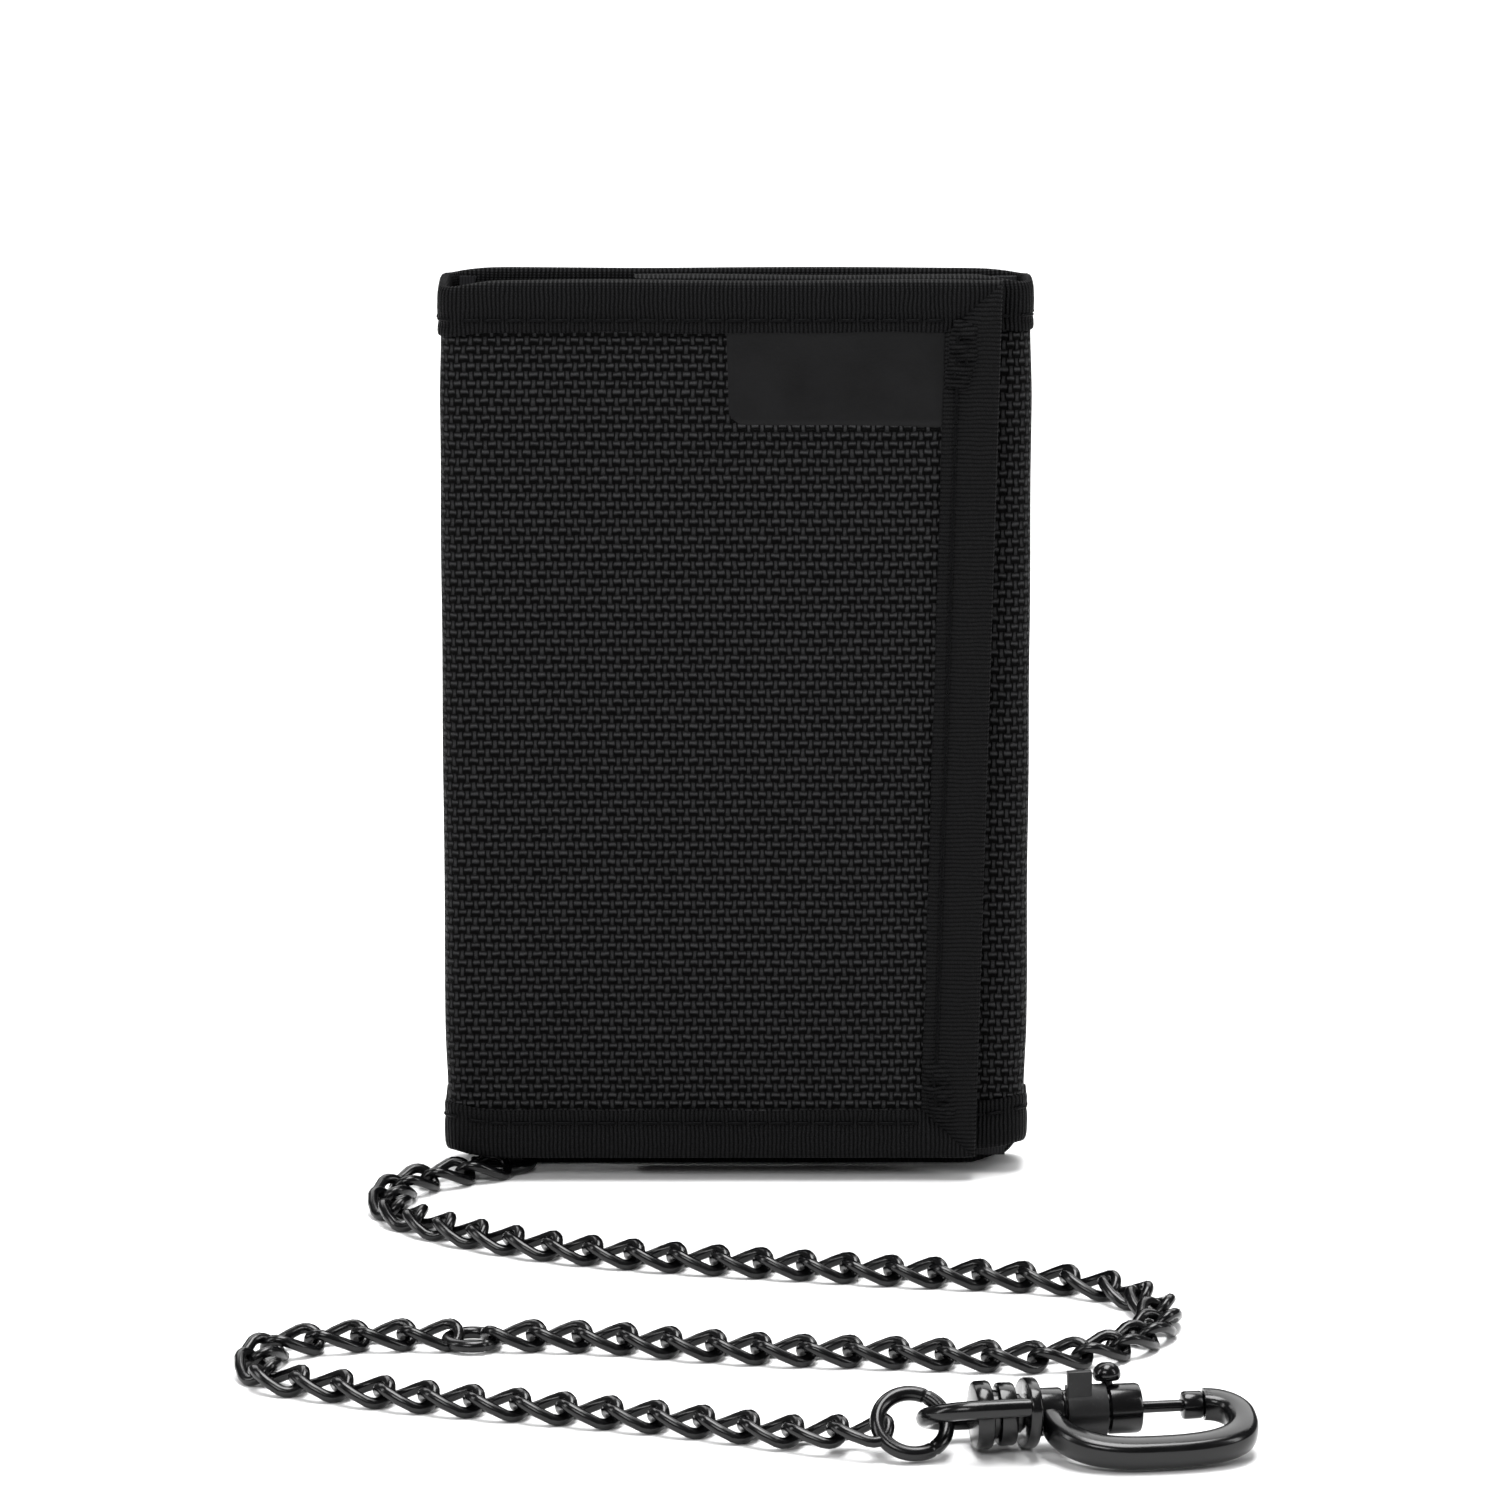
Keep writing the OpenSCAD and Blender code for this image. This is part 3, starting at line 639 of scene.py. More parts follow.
spring_steel, tree, shader = new_material("drawn_steel")
streak = noise(tree, coordinates(tree, "Object"), 900, 2)
coloured(tree, shader, streak, (0.3, 0.3, 0.31), (0.5, 0.5, 0.51), 0.35)
shader.inputs["Metallic"].default_value = 1.0
spring_from = 17.05
spring_to = 22.85
spring_turns = 5
spring_steps = 150
coil_radius = 1.4
coil_wire = 0.18
coil_rings = []
for step in range(spring_steps + 1):
    t = 2 * math.pi * spring_turns * step / spring_steps
    x = spring_from + coil_wire + (spring_to - spring_from - 2 * coil_wire) * step / spring_steps
    ring = []
    for k in range(8):
        out = coil_radius + coil_wire * math.cos(math.pi * k / 4)
        spot = Vector((x + coil_wire * math.sin(math.pi * k / 4), out * math.cos(t), out * math.sin(t)))
        ring.append(hook_frame_at @ (spot * mm))
    coil_rings.append(ring)
coil = sweep("plunger_coil", coil_rings)
bpy.ops.object.shade_smooth()
fitted(coil, spring_steel, "hook", "spring_steel", "plunger_spring")
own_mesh(coil)

# ---- Woven shell --------------------------------------------------------------------
# One length of heavy basket-weave nylon with a smooth lining side. It runs from the
# cover's free edge round the left folds, across the back and round the right folds to
# the free edge of the inner flap, and it bends at the four folds.

wallet_top = 127.4 * mm
fold_lift = 3.4 * mm
free_top = 36.5 * mm
edge_lean = 3 * mm
fold_radius = 3.2 * mm
band_width = 7 * mm
edge_band_width = 7.8 * mm
flap_front = -3.65 * mm
half_width = 41 * mm
half_depth = 8 * mm
skin_depth = 0.4 * mm
skin_thickness = 0.8 * mm
corner = fold_radius * math.pi / 2
straight_back = 2 * (half_width - fold_radius)
runs = [
    (free_top + half_width - fold_radius, False), (corner, True),
    (2 * (half_depth - fold_radius), False), (corner, True), (straight_back, False),
    (corner, True), (half_depth - fold_radius - flap_front - fold_radius, False),
    (corner, True), (half_width - fold_radius + 14 * mm, False)]
stations = [0.0]
for length, bent in runs:
    stations.append(stations[-1] + length)


def shell_at(u, depth, z):
    """The point at a distance along the shell, a depth below its outer face and a height."""
    spot = Vector((free_top, -half_depth))
    heading = Vector((-1, 0))
    for index, (length, bent) in enumerate(runs):
        inward = Vector((heading.y, -heading.x))
        left = u - stations[index]
        last = index == len(runs) - 1
        if bent:
            middle = spot + inward * fold_radius
            if left <= length:
                turn = left / fold_radius
                out = -inward * math.cos(turn) + heading * math.sin(turn)
                spot = middle + out * (fold_radius - depth)
                return Vector((spot.x, spot.y, z))
            spot = middle + heading * fold_radius
            heading = inward
        else:
            if left <= length or last:
                spot = spot + heading * left + inward * depth
                return Vector((spot.x, spot.y, z))
            spot = spot + heading * length
    return Vector((spot.x, spot.y, z))


def fold_pull(u):
    """How far the edges are drawn in where the cloth bends round a fold."""
    return 0.9 * mm * sum(math.exp(-((u - (stations[i] + stations[i + 1]) / 2) / (4 * mm)) ** 2)
        for i in (1, 3, 5, 7))


def shell_bottom(u):
    """Height of the shell's lower edge, which stands on the table only at the back."""
    down = smooth_step((u - stations[3]) / (stations[4] - stations[3]))
    up = smooth_step((u - stations[5]) / (stations[6] - stations[5]))
    return fold_lift * (1 - down + up) + fold_pull(u) * (0.25 if down > up else 1)


def cover_free(z):
    """How far the cover's slanting free edge is from its top corner's line."""
    return edge_lean * (wallet_top - z) / (wallet_top - fold_lift)


def ripple(u, z, seed):
    """Slow unevenness of sewn cloth, from -1 to 1."""
    return (math.sin(u * 290 + seed * 1.7 + 1.3 * math.sin(z * 130 + seed))
        + math.sin(z * 210 + seed * 2.3 + 1.1 * math.sin(u * 170 + seed))) / 2


def ease_between(tree, value, low, high, from_value=0.0, to_value=1.0):
    """A smooth change from one value to another as the input goes from low to high."""
    made = tree.nodes.new("ShaderNodeMapRange")
    made.interpolation_type = "SMOOTHSTEP"
    made.inputs["From Min"].default_value = low
    made.inputs["From Max"].default_value = high
    made.inputs["To Min"].default_value = from_value
    made.inputs["To Max"].default_value = to_value
    tree.links.new(value, made.inputs["Value"])
    return made.outputs["Result"]


def parts_of(tree, place):
    """The first and second coordinate of a place."""
    made = tree.nodes.new("ShaderNodeSeparateXYZ")
    tree.links.new(place, made.inputs[0])
    return made.outputs["X"], made.outputs["Y"]


basket, entry, leave = effect("basket_weave", ["Place", "Cell Width", "Cell Height"],
    ["Height", "Thread_And_Gap_Shade", "Shade"])
across, upward = parts_of(basket, entry.outputs["Place"])
drift = noise(basket, entry.outputs["Place"], 320, 2)
small_drift = noise(basket, entry.outputs["Place"], 900, 1)
column = maths(basket, "ADD", maths(basket, "DIVIDE", across, entry.outputs["Cell Width"]),
    maths(basket, "MULTIPLY", drift, 0.35))
line = maths(basket, "ADD", maths(basket, "DIVIDE", upward, entry.outputs["Cell Height"]),
    maths(basket, "MULTIPLY", small_drift, 0.3))
row = maths(basket, "FLOOR", line)
shift = maths(basket, "MULTIPLY", maths(basket, "FLOORED_MODULO", row, 2.0), 0.5)
in_column = maths(basket, "FRACT", maths(basket, "ADD", column, shift))
in_row = maths(basket, "FRACT", line)
off_centre = maths(basket, "ABSOLUTE", maths(basket, "SUBTRACT", in_column, 0.5))
float_across = ease_between(basket, off_centre, 0.24, 0.36, 1.0, 0.0)
float_up = maths(basket, "SINE", maths(basket, "MULTIPLY",
    ease_between(basket, in_row, 0.3, 1.0), math.pi))
float_height = maths(basket, "MULTIPLY", float_across, maths(basket, "POWER", float_up, 0.6))
bar_across = ease_between(basket, off_centre, 0.28, 0.42)
bar_wave = maths(basket, "MULTIPLY_ADD", maths(basket, "SINE",
    maths(basket, "MULTIPLY", in_row, math.pi)), 0.3, 0.45)
bar_height = maths(basket, "MULTIPLY", bar_across, bar_wave)
woven = maths(basket, "SMOOTH_MAX", float_height, bar_height, 0.15)
fibres = noise(basket, entry.outputs["Place"], 5200, 2)
basket.links.new(maths(basket, "MULTIPLY_ADD", fibres, 0.18, woven), leave.inputs["Height"])
# The colour mask below is the fibres' own tone times the weave's height, so the gaps between threads come
# out dark: painted shade in the gaps.
basket.links.new(maths(basket, "MULTIPLY", woven,
    maths(basket, "MULTIPLY_ADD", fibres, 0.7, 0.65)), leave.inputs["Thread_And_Gap_Shade"])
basket.links.new(ease_between(basket, drift, 0.3, 0.7), leave.inputs["Shade"])

woven_nylon, tree, shader = new_material("basket_weave_nylon")
weave = applied(tree, basket, "UV", {"Cell Width": 1.9 * mm, "Cell Height": 1.2 * mm})
# Near black in the gaps between threads, which is painted shade, and the nylon's own dark grey on the
# thread crowns.
coloured(tree, shader, maths(tree, "POWER", weave["Thread_And_Gap_Shade"], 1.8), (0.0002, 0.0002, 0.0002),
    (0.036, 0.036, 0.0375), ease_between(tree, weave["Shade"], 0.0, 1.0, 0.42, 0.58), 0.035)
bump(tree, shader, weave["Height"], 0.0007)

ribs, entry, leave = effect("ribbed_tape", ["Place", "Rib Pitch"], ["Height", "Thread_And_Gap_Shade"])
across, upward = parts_of(ribs, entry.outputs["Place"])
sway = noise(ribs, entry.outputs["Place"], 260, 2)
turn = maths(ribs, "MULTIPLY", maths(ribs, "ADD", maths(ribs, "DIVIDE", across,
    entry.outputs["Rib Pitch"]), maths(ribs, "MULTIPLY", sway, 0.9)), math.pi)
rib = maths(ribs, "POWER", maths(ribs, "ABSOLUTE", maths(ribs, "SINE", turn)), 0.6)
warp = maths(ribs, "ABSOLUTE", maths(ribs, "SINE", maths(ribs, "MULTIPLY", upward,
    math.pi / (0.35 * mm))))
fibres = noise(ribs, entry.outputs["Place"], 4200, 2)
ribs.links.new(maths(ribs, "MULTIPLY_ADD", warp, 0.18, rib), leave.inputs["Height"])
# The colour mask below is the ribs' height times the fibres' own tone, so the valleys between ribs come
# out dark: painted shade in the valleys.
ribs.links.new(maths(ribs, "MULTIPLY", rib, maths(ribs, "MULTIPLY_ADD", fibres, 0.8, 0.6)),
    leave.inputs["Thread_And_Gap_Shade"])

ribbed_tape, tree, shader = new_material("ribbed_binding")
tape_weave = applied(tree, ribs, "UV", {"Rib Pitch": 0.6 * mm})
# Dark in the valleys between ribs, which is painted shade, and the tape's own dark grey on the ribs.
coloured(tree, shader, tape_weave["Thread_And_Gap_Shade"], (0.0002, 0.0002, 0.0002), (0.0085, 0.0085, 0.009),
    0.55, 0.035)
bump(tree, shader, tape_weave["Height"], 0.00042)

lining_cloth, tree, shader = new_material("plain_lining")
threads = applied(tree, ribs, "Object", {"Rib Pitch": 0.42 * mm})
# Darker between the fine ribs, which is painted shade, and the lining's own grey on the threads.
coloured(tree, shader, threads["Thread_And_Gap_Shade"], (0.006, 0.006, 0.007), (0.02, 0.02, 0.022), 0.5, 0.2)
bump(tree, shader, threads["Height"], 0.00006)

patch_left = -1.7 * mm
patch_bottom = 107 * mm
patch_corner = 3 * mm
welt_gap = 1.8 * mm
top_row = 5.3 * mm
bottom_row = 5.2 * mm
fold_tape = 1.75 * mm


def patch_reach(x, z):
    """How far inside the label patch's window a place is, from 0 outside it to 1 well in."""
    right, up = x - patch_left, z - patch_bottom
    near = patch_corner
    if max(right, up) < near:
        inside = near - math.hypot(near - right, near - up)
    else:
        inside = min(right, up)
    return smooth_step(inside / (0.7 * mm))


def field_relief(u, z, part):
    """How far the cloth's face lies below the bindings' face."""
    low = shell_bottom(u) + band_width
    edge = min(z - low, wallet_top - band_width - z)
    if part == 0:
        edge = min(edge, u - cover_free(z) - edge_band_width)
    swell = smooth_step(edge / (11 * mm))
    depth = 0.5 * mm - 0.3 * mm * swell + 0.07 * mm * ripple(u, z, 2)
    if part == 0:
        depth += 0.75 * mm * patch_reach(free_top - u, z)
        right, up = free_top - u - patch_left + welt_gap, z - patch_bottom + welt_gap
        seam = min(abs(right), abs(up))
        if min(right, up) > -0.2 * mm:
            depth += 0.22 * mm * math.exp(-(seam / (0.35 * mm)) ** 2)
    return depth


def lofted(name, steps, section, made):
    """A swept piece. section gives its points and their places on the material, from 0 to 1."""
    sections = [section(i / steps) for i in range(steps + 1)]
    piece = sweep(name, [[point for point, mark in pairs] for pairs in sections],
        [[mark for point, mark in pairs] for pairs in sections])
    dress(piece, made)
    return piece


def shell_field(name, part):
    """The cloth of one stretch of the shell, between its bindings' middles."""
    start, end = stations[part], stations[part + 1]
    columns = max(7, round((end - start) / ((0.7 if part == 0 else 1.6) * mm)))
    rows = 170 if part == 0 else 70

    def section(t):
        pairs = []
        for j in range(2 * rows + 2):
            inner = j > rows
            step = (2 * rows + 1 - j if inner else j) / rows
            u = start + (end - start) * t
            low = shell_bottom(u) + 1.2 * mm
            z = low + (wallet_top - 1.2 * mm - low) * step
            if part == 0:
                u = start + (cover_free(z) + 1.2 * mm) * (1 - t) + (end - start) * t
            if part == 8:
                u = min(u, end - 1.2 * mm)
            depth = skin_depth + skin_thickness if inner else field_relief(u, z, part)
            pairs.append((shell_at(u, depth, z), (u, z)))
        return pairs

    field = lofted(name, columns, section, woven_nylon)
    field.data.materials.append(lining_cloth)
    layer = field.data.uv_layers[0].data
    for face in field.data.polygons:
        u = layer[face.loop_start].uv.x
        outward = shell_at(u, 0, 0) - shell_at(u, 1 * mm, 0)
        if face.normal.dot(outward) < 0.2 * mm:
            face.material_index = 1
    return field


def band_outline(deep):
    """Outline of a binding: distance from the panel's edge, and depth below its face."""
    flat = [(7.0, 0.22), (6.9, 0.05), (6.5, 0.0), (5.9, 0.03), (5.5, 0.14), (5.2, 0.16),
        (4.9, 0.12), (4.3, 0.0), (3.2, -0.03), (2.0, 0.0), (1.2, 0.05), (0.6, 0.18),
        (0.2, 0.42), (0.0, 0.85)]
    outer = [(a * mm, d * mm) for a, d in flat]
    inner = [(a, deep - d) for a, d in reversed(outer)]
    return outer + inner


def band_depth(u, part, top):
    """How far the binding reaches into the wallet. It is thin round the folds."""
    full = {0: 3.7, 4: 2.5 if top else 6.0, 8: 4.7}.get(part, 1.75) * mm
    away = min((u - stations[part]) if part else 1, (stations[part + 1] - u) if part < 8 else 1)
    return fold_tape + (full - fold_tape) * smooth_step(away / (5 * mm))


def shell_band(name, part, top):
    """The ribbed tape over the top or bottom edge of one stretch of the shell."""
    start, end = stations[part], stations[part + 1]
    columns = max(8, round((end - start) / (1.4 * mm)))

    def section(t):
        pairs = []
        u = start + (end - start) * t
        uneven = 0.16 * mm * (1 + ripple(u * 0.5, 0.03, 2))
        edge = wallet_top - uneven - fold_pull(u) * 0.7 if top else shell_bottom(u)
        swell = 0.06 * mm * ripple(u, 0.02, 3)
        closed = 0.38 * mm * math.exp(-((1 - t if part == 8 else t) * columns / 0.8) ** 2)
        if part not in (0, 8):
            closed = 0
        for across_tape, depth in band_outline(band_depth(u, part, top)):
            wave = 0.14 * mm * ripple(u, 0.01 if top else 0.05, 1) * across_tape / band_width
            z = edge - across_tape - wave if top else edge + across_tape + wave
            place = u
            if part == 0:
                slant = across_tape * edge_band_width / band_width + cover_free(z)
                place = start + slant * (1 - t) + (end - start) * t
            if part == 8:
                place = start + (end - across_tape * edge_band_width / band_width - start) * t
            sunk = depth + swell + (closed if depth < 1 * mm else 0)
            pairs.append((shell_at(place, sunk, z), (place, z)))
        return pairs

    return lofted(name, columns, section, ribbed_tape)


thread, tree, shader = new_material("sewing_thread")
twist = noise(tree, coordinates(tree, "Object"), 3600, 2)
# The thread is black, and is made darker still so that the stitches show as dark as the shaded holes they
# sink into: its own colour and painted shade.
coloured(tree, shader, twist, (0.0004, 0.0004, 0.0005), (0.005, 0.005, 0.0055), 0.42, 0.04)
bump(tree, shader, twist, 0.0001)

stitch_pitch = 2.9 * mm
deselect()
bpy.ops.mesh.primitive_uv_sphere_add(segments=8, ring_count=6, radius=1)
stitch = bpy.context.object
stitch.data.transform(Matrix.Rotation(math.radians(90), 4, "Y"))
for vertex in stitch.data.vertices:
    stretched = math.copysign(0.85, vertex.co.x) if abs(vertex.co.x) > 0.01 else 0.0
    vertex.co = Vector((vertex.co.x * 0.42 + stretched, vertex.co.y * 0.23, vertex.co.z * 0.2)) * mm
stitch.data.polygons.foreach_set("use_smooth", [True] * len(stitch.data.polygons))


def sewn(name, seams):
    """Rows of stitches. Each seam is a function of the distance along it, and its two ends."""
    made = []
    for seam, start, end in seams:
        count = max(1, int((end - start) / stitch_pitch))
        for index in range(count):
            middle = start + (end - start) * (index + 0.5) / count
            here, there = seam(middle - 0.3 * mm), seam(middle + 0.3 * mm)
            out = seam(middle, -1 * mm) - seam(middle)
            along = (there - here).normalized()
            out = (out - along * out.dot(along)).normalized()
            side = out.cross(along)
            copy = bpy.data.objects.new("stitch", stitch.data.copy())
            bpy.context.collection.objects.link(copy)
            turn = Matrix((along, side, out)).transposed().to_4x4()
            copy.data.transform(Matrix.Translation(seam(middle)) @ turn)
            made.append(copy)
    row = joined(name, made)
    dress(row, thread)
    return row


def place_on(piece, part):
    """Puts a piece of one stretch of the shell on its body, or, for a bend, bakes its place into its mesh
    and leaves it on no body.
    """
    bodies = ("cover", "left_fold", "wallet", "right_fold", "inner_flap")
    if part % 2 == 0:
        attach(piece, bodies[part // 2])
    else:
        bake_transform(piece)


shell_names = ["cover", "front_left_bend", "left_side", "back_left_bend", "back",
    "back_right_bend", "right_side", "front_right_bend", "flap"]
shell_nodes = {0: "cover", 2: "left_fold", 4: "back", 6: "right_fold", 8: "flap"}
for part, shell_name in enumerate(shell_names):
    node = shell_nodes.get(part)
    cloth = shell_field(shell_name + "_cloth", part)
    place_on(cloth, part)
    if node:
        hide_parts(node + ("_fabric" if part in (2, 6) else "_outer_fabric"))
    for top in (True, False):
        level = "top" if top else "bottom"
        band = shell_band(f"{shell_name}_{level}_band", part, top)
        place_on(band, part)
        if node:
            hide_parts(f"{node}_{level}_binding")

        def seam(u, depth=0.03 * mm, top=top, part=part):
            height = wallet_top - top_row if top else shell_bottom(u) + bottom_row
            return shell_at(u, depth, height)

        start = stations[part] + (edge_band_width if part == 0 else 0)
        end = stations[part + 1] - (edge_band_width if part == 8 else 0)
        if part == 0 and not top:
            start += edge_lean
        row = sewn(f"{shell_name}_{level}_stitches", [(seam, start, end)])
        place_on(row, part)

# ---- Free-edge bindings -------------------------------------------------------------
# The same ribbed tape over the free edges of the cover and of the inner flap, mitred
# into the top and bottom bindings and sewn down with one row of stitches.


def edge_bar(name, free, front, back, toward):
    """An upright binding on a free edge. free gives the edge's x at a height."""
    rows = 90

    def section(t):
        pairs = []
        closed = 0.38 * mm * (math.exp(-(t * rows / 0.8) ** 2)
            + math.exp(-((1 - t) * rows / 0.8) ** 2))
        for across_tape, depth in band_outline(back - front):
            wide = across_tape * edge_band_width / band_width
            low = fold_lift + across_tape
            z = low + (wallet_top - across_tape - low) * t
            wave = 0.1 * mm * ripple(z, 0.03, 5) * across_tape / band_width
            lift = 0.05 * mm * ripple(z, 0.01, 7) + (closed if depth < 1 * mm else 0)
            spot = Vector((free(z) + toward * (wide + wave), front + depth + lift, z))
            pairs.append((spot, (z, wide)))
        return pairs

    return lofted(name, rows, section, ribbed_tape)


def cover_edge(z):
    """The x of the cover's free edge at a height."""
    return free_top - cover_free(z)


def flap_edge(z):
    """The x of the inner flap's free edge."""
    return -14 * mm


for edge_name, body, free, front, back, toward in (
        ("cover_edge", "cover", cover_edge, -half_depth, -4.3 * mm, -1),
        ("flap_edge", "inner_flap", flap_edge, flap_front, 1.05 * mm, 1)):
    edge_band = edge_bar(f"{edge_name}_band", free, front, back, toward)
    fitted(edge_band, ribbed_tape, body, "grosgrain_tape", f"{edge_name}_binding")

    def seam(z, depth=0.03 * mm, free=free, front=front, toward=toward):
        return Vector((free(z) + toward * 5.9 * mm, front + depth, z))

    row = sewn(f"{edge_name}_stitches", [(seam, fold_lift + bottom_row, wallet_top - top_row)])
    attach(row, body)

# ---- Folded tape ends ---------------------------------------------------------------
# Where the cover's bindings meet at its free corners, the tape's end is turned under in a
# small crumpled lap and tacked down with a few close stitches.


def tape_lap(name, x, z, width, height, lean, seed):
    """A crumpled lap of tape on the cover's face, about a place, wider than it is thick."""
    columns = 12
    outline = [(k / columns, 1.0) for k in range(columns + 1)]
    outline += [((columns - k) / columns, 0.0) for k in range(columns + 1)]

    def section(t):
        pairs = []
        for s, face in outline:
            pinch = 1 - 0.28 * math.sin(t * 9 + seed) * math.sin(t * 4) * (s - 0.5)
            a = (s - 0.5) * width * pinch * (0.82 + 0.18 * math.sin(math.pi * t))
            crumple = 0.22 * math.sin(t * 21 + s * 3 + seed) + 0.16 * math.sin(t * 37 - s * 7 + seed)
            round_over = (1 - (2 * s - 1) ** 4) * (1 - (2 * t - 1) ** 6)
            raised = face * (0.25 + (0.5 + crumple) * round_over)
            up = (t - 0.5) * height + 0.25 * math.sin(s * 6 + seed)
            spot = Vector((x + a + lean * (t - 0.5), -8.02 + 0.3 - raised, z + up))
            pairs.append((spot * mm, (up * mm, a * mm)))
        return pairs

    lap = lofted(name, 36, section, ribbed_tape)
    bpy.ops.object.shade_smooth_by_angle(angle=math.radians(60))
    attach(lap, "cover")


tape_lap("upper_tape_lap", 30.9, 117.3, 4.0, 9.4, 1.1, 0.4)
tape_lap("lower_tape_lap", 28.4, 13.2, 4.2, 8.6, -1.3, 2.1)


def tack_row(x, z, lean):
    """A short close row of stitches over a tape lap."""
    def seam(t, depth=-0.42 * mm):
        return Vector((x + lean * t / (6 * mm), -half_depth + depth, z + t))
    return seam


tacks = sewn("corner_tacks", [
    (tack_row(29.9 * mm, 114.2 * mm, 0.5 * mm), 0.0, 6.2 * mm),
    (tack_row(31.4 * mm, 114.6 * mm, 0.4 * mm), 0.0, 5.6 * mm),
    (tack_row(28.0 * mm, 10.6 * mm, -0.6 * mm), 0.0, 5.8 * mm)])
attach(tacks, "cover")

# ---- Label patch --------------------------------------------------------------------
# A plain satin patch of rubbery sheet, held by its rim behind a window in the cover's
# weave. It sags a little between its borders.

patch_width = 32 * mm
patch_height = 14.4 * mm
patch_satin, tree, shader = new_material("satin_patch")
painted_shading_cloud = noise(tree, coordinates(tree, "Object"), 150, 3)
grain = noise(tree, coordinates(tree, "Object"), 3800, 2)
# The broad cloudy lighter and darker colour is painted shading, for the soft fall of light over the
# sagging sheet. The same cloud also varies its roughness.
coloured(tree, shader, painted_shading_cloud, (0.0004, 0.0004, 0.0005), (0.006, 0.006, 0.0066),
    ease_between(tree, painted_shading_cloud, 0.3, 0.7, 0.34, 0.46), 0.13)
bump(tree, shader, grain, 0.00002)
patch_columns = 40
patch_rows = 22
deselect()
bpy.ops.mesh.primitive_grid_add(x_subdivisions=patch_columns, y_subdivisions=patch_rows, size=2)
patch = bpy.context.object
patch.name = "label_patch_sheet"
for vertex in patch.data.vertices:
    s, t = (vertex.co.x + 1) / 2, (vertex.co.y + 1) / 2
    x = patch_width * s
    z = patch_height * t
    near = patch_corner
    if x < near and z < near:
        reach = Vector((near - x, near - z))
        most = max(reach.x, reach.y)
        if most > 0:
            scale = most / reach.length
            x, z = near - reach.x * scale, near - reach.y * scale
    rim = min(x, z, near) / near
    sag = 0.14 * mm * math.sin(math.pi * min(1, s * 1.1)) * math.sin(math.pi * t)
    sag += 0.05 * mm * ripple(x * 2, z * 2, 4)
    lip = 0.22 * mm * (1 - smooth_step(rim * 4))
    vertex.co = Vector((patch_left + x, -half_depth + 0.72 * mm + sag + lip, patch_bottom + z))
bpy.ops.object.mode_set(mode="EDIT")
bpy.ops.mesh.select_all(action="SELECT")
bpy.ops.mesh.solidify(thickness=0.25 * mm)
bpy.ops.mesh.normals_make_consistent(inside=False)
bpy.ops.object.mode_set(mode="OBJECT")
bpy.ops.object.shade_smooth_by_angle(angle=math.radians(50))
fitted(patch, patch_satin, "cover", "patch_rubber", "label_patch")

# ---- Linings and pockets ------------------------------------------------------------
# Soft sheets of lining cloth inside the panels: card pockets with turned mouths, the note
# divider and the bound pocket panel. All are held in the bindings.


def soft_sheet(name, x0, x1, z0, z1, y0, y1, made, sag=0.1):
    """A sheet with rolled edges and a slight unevenness, wider than it is thick."""
    columns = max(4, round((x1 - x0) / 2.5))
    rows = max(4, round((z1 - z0) / 2.5))
    thickness = y1 - y0
    rings = []
    for i in range(columns + 1):
        ring = []
        heights = [j / rows for j in range(rows + 1)]
        outline = [(h, 0.0) for h in heights] + [(h, 1.0) for h in reversed(heights)]
        for h, side in outline:
            x = x0 + (x1 - x0) * i / columns
            z = z0 + (z1 - z0) * h
            hem = 0.0 if 0.02 < h < 0.98 else 0.3
            end = 0.3 if i in (0, columns) else 0.0
            squeeze = max(hem, end)
            y = y0 + thickness * (side * (1 - 2 * squeeze * 0.6) + squeeze * 0.6)
            y += sag * 0.5 * ripple(x * mm * 0.7, z * mm * 0.7, x1) * (1 - end / 0.3)
            ring.append(Vector((x, y, z)) * mm)
        rings.append(ring)
    piece = sweep(name, rings)
    bpy.ops.object.shade_smooth_by_angle(angle=math.radians(60))
    dress(piece, made)
    return piece


def flat_bar(name, x0, x1, edge, down, y0, y1):
    """A level length of ribbed tape over an edge, as wide as a band."""

    def section(t):
        x = (x0 + (x1 - x0) * t) * mm
        pairs = []
        for across_tape, depth in band_outline((y1 - y0) * mm):
            z = edge * mm - across_tape * down
            pairs.append((Vector((x, y0 * mm + depth, z)), (x, z)))
        return pairs

    return lofted(name, 50, section, ribbed_tape)


sheets = [
    ("cover_inside", "cover", -38.4, 33.0, 4.6, 126.2, -6.7, -5.9,
        ("cover_stiffener", "cover_lining")),
    ("cover_pocket_high", "cover", -36.6, 33.0, 4.8, 108.0, -5.9, -5.35, ("cover_pocket_upper",)),
    ("cover_pocket_low", "cover", -36.6, 33.0, 4.8, 94.0, -5.3, -4.75, ("cover_pocket_lower",)),
    ("back_inside", "wallet", -38.4, 38.4, 1.2, 126.2, 5.95, 6.7,
        ("back_stiffener", "back_lining")),
    ("note_sheet", "wallet", -38.0, 38.0, 1.2, 118.0, 5.1, 5.4, ("note_divider",)),
    ("pocket_sheet", "wallet", -38.0, 38.0, 1.2, 123.4, 4.25, 4.7, ("pocket_panel",)),
    ("card_pocket_high", "wallet", -38.0, 38.0, 1.2, 108.0, 3.65, 4.2, ("card_pocket_upper",)),
    ("card_pocket_middle", "wallet", -38.0, 38.0, 1.2, 94.0, 3.05, 3.6, ("card_pocket_middle",)),
    ("card_pocket_low", "wallet", -38.0, 38.0, 1.2, 80.0, 2.45, 3.0, ("card_pocket_lower",)),
    ("flap_inside", "inner_flap", -13.2, 38.4, 4.6, 126.2, -2.4, -1.6,
        ("flap_stiffener", "flap_lining"))]
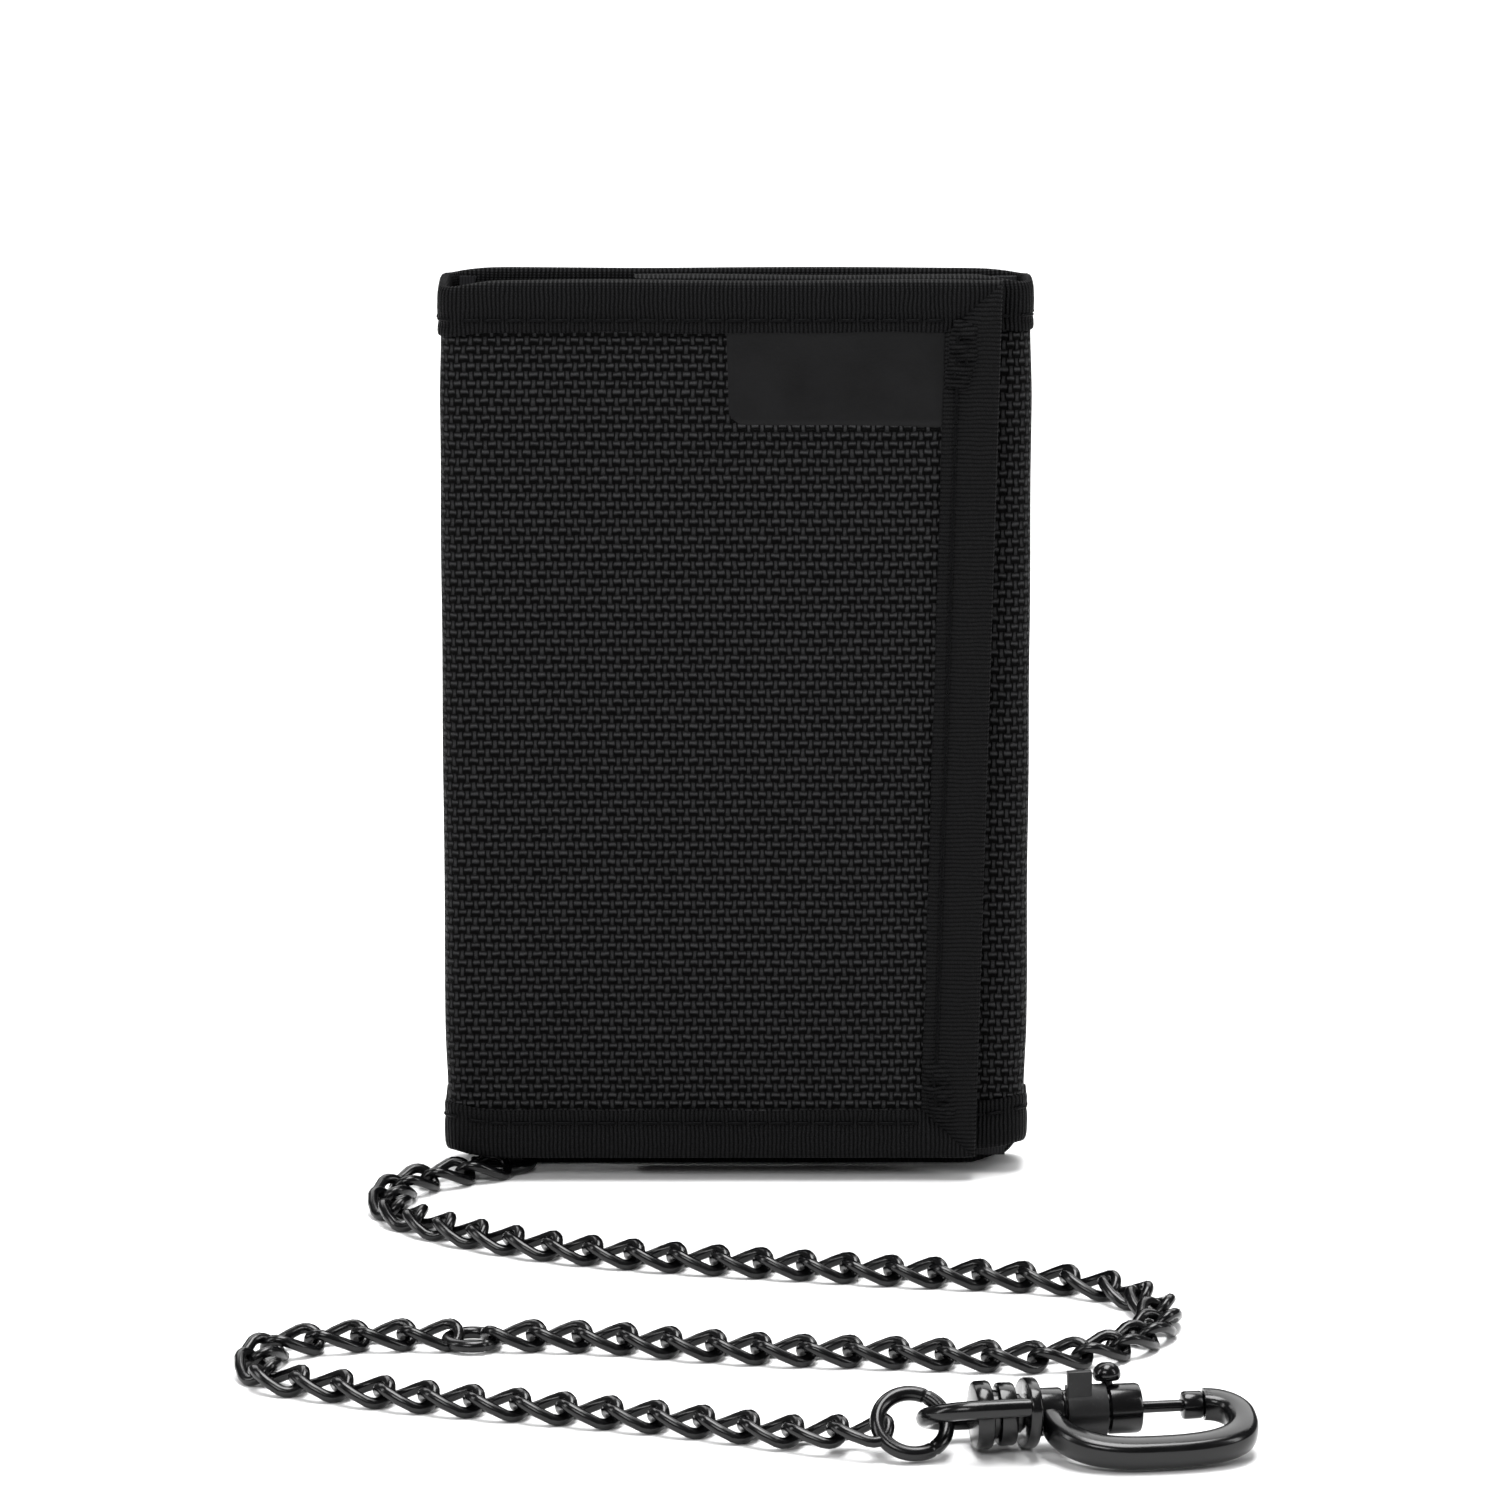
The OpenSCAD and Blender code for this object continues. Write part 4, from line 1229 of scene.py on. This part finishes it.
for sheet_name, body, x0, x1, z0, z1, y0, y1, nodes in sheets:
    pocket = soft_sheet(sheet_name, x0, x1, z0, z1, y0, y1, lining_cloth, 0.05)
    fitted(pocket, lining_cloth, body, "lining_fabric", *nodes)

pocket_bar = flat_bar("pocket_top_band", -38.6, 38.6, 124.0, 0.86, 3.8, 5.05)
fitted(pocket_bar, ribbed_tape, "wallet", "grosgrain_tape", "pocket_top_binding")

# ---- Card window --------------------------------------------------------------------
# A clear vinyl sheet on the inside of the flap, under a frame of lining cloth that is
# open in the middle, for a card that is shown.

frame_sheet = soft_sheet("window_border", -13.4, 38.6, 3.9, 127.0, 0.3, 0.75, lining_cloth, 0.0)
cut_box(frame_sheet, Matrix.Translation((12.55 * mm, 0.5 * mm, 55.4 * mm))
    @ Matrix.Diagonal((29.1 * mm, 4 * mm, 80 * mm, 1)))
fitted(frame_sheet, lining_cloth, "inner_flap", "lining_fabric", "window_frame")

clear_vinyl, tree, shader = new_material("clear_vinyl")
waves = noise(tree, coordinates(tree, "Object"), 60, 2)
coloured(tree, shader, waves, (0.9, 0.92, 0.93), (0.97, 0.98, 0.98),
    ease_between(tree, waves, 0.3, 0.7, 0.06, 0.14))
shader.inputs["Transmission Weight"].default_value = 1.0
shader.inputs["IOR"].default_value = 1.4
bump(tree, shader, waves, 0.0004)
window = soft_sheet("window_sheet", -13.0, 38.2, 4.2, 126.6, -0.1, 0.2, clear_vinyl, 0.0)
fitted(window, clear_vinyl, "inner_flap", "clear_vinyl", "clear_window")

# ---- Closure ------------------------------------------------------------------------
# A square of hook tape sewn inside the cover and one of loop tape on the flap's face.

loops, tree, shader = new_material("touch_tape")
pile = noise(tree, coordinates(tree, "Object"), 1500, 3)
coloured(tree, shader, pile, (0.003, 0.003, 0.003), (0.03, 0.03, 0.032), 0.85)
shader.inputs["Sheen Weight"].default_value = 0.2
bump(tree, shader, pile, 0.0006)
for tape_name, body, y0, y1, node in (
        ("hook_square", "cover", -4.75, -4.25, "hook_tape"),
        ("loop_square", "inner_flap", -3.8, -3.3, "loop_tape")):
    square = soft_sheet(tape_name, 4.7, 24.7, 53.7, 73.7, y0, y1, loops, 0.03)
    fitted(square, loops, body, "touch_fastener", node)

# ---- Chain anchor -------------------------------------------------------------------
# A doubled loop of webbing under the lower left fold, and the D-shaped wire ring that it
# holds, from which the chain leaves.

anchor = softened("anchor_tab", "ring_tab", 0.35 * mm)
webbing, tree, shader = new_material("webbing")
strands = applied(tree, basket, "Object", {"Cell Width": 1.1 * mm, "Cell Height": 0.7 * mm})
# Dark in the gaps between threads, which is painted shade, and the webbing's own grey on the threads.
coloured(tree, shader, strands["Thread_And_Gap_Shade"], (0.004, 0.004, 0.0045), (0.03, 0.03, 0.032), 0.6)
bump(tree, shader, strands["Height"], 0.00015)
fitted(anchor, webbing, "wallet", "webbing", "ring_tab")

dee = softened("anchor_ring", "wallet_ring", 0.05 * mm, 70)
fitted(dee, chain_black, "wallet", "black_chain_metal", "wallet_ring")
bpy.data.objects.remove(stitch)
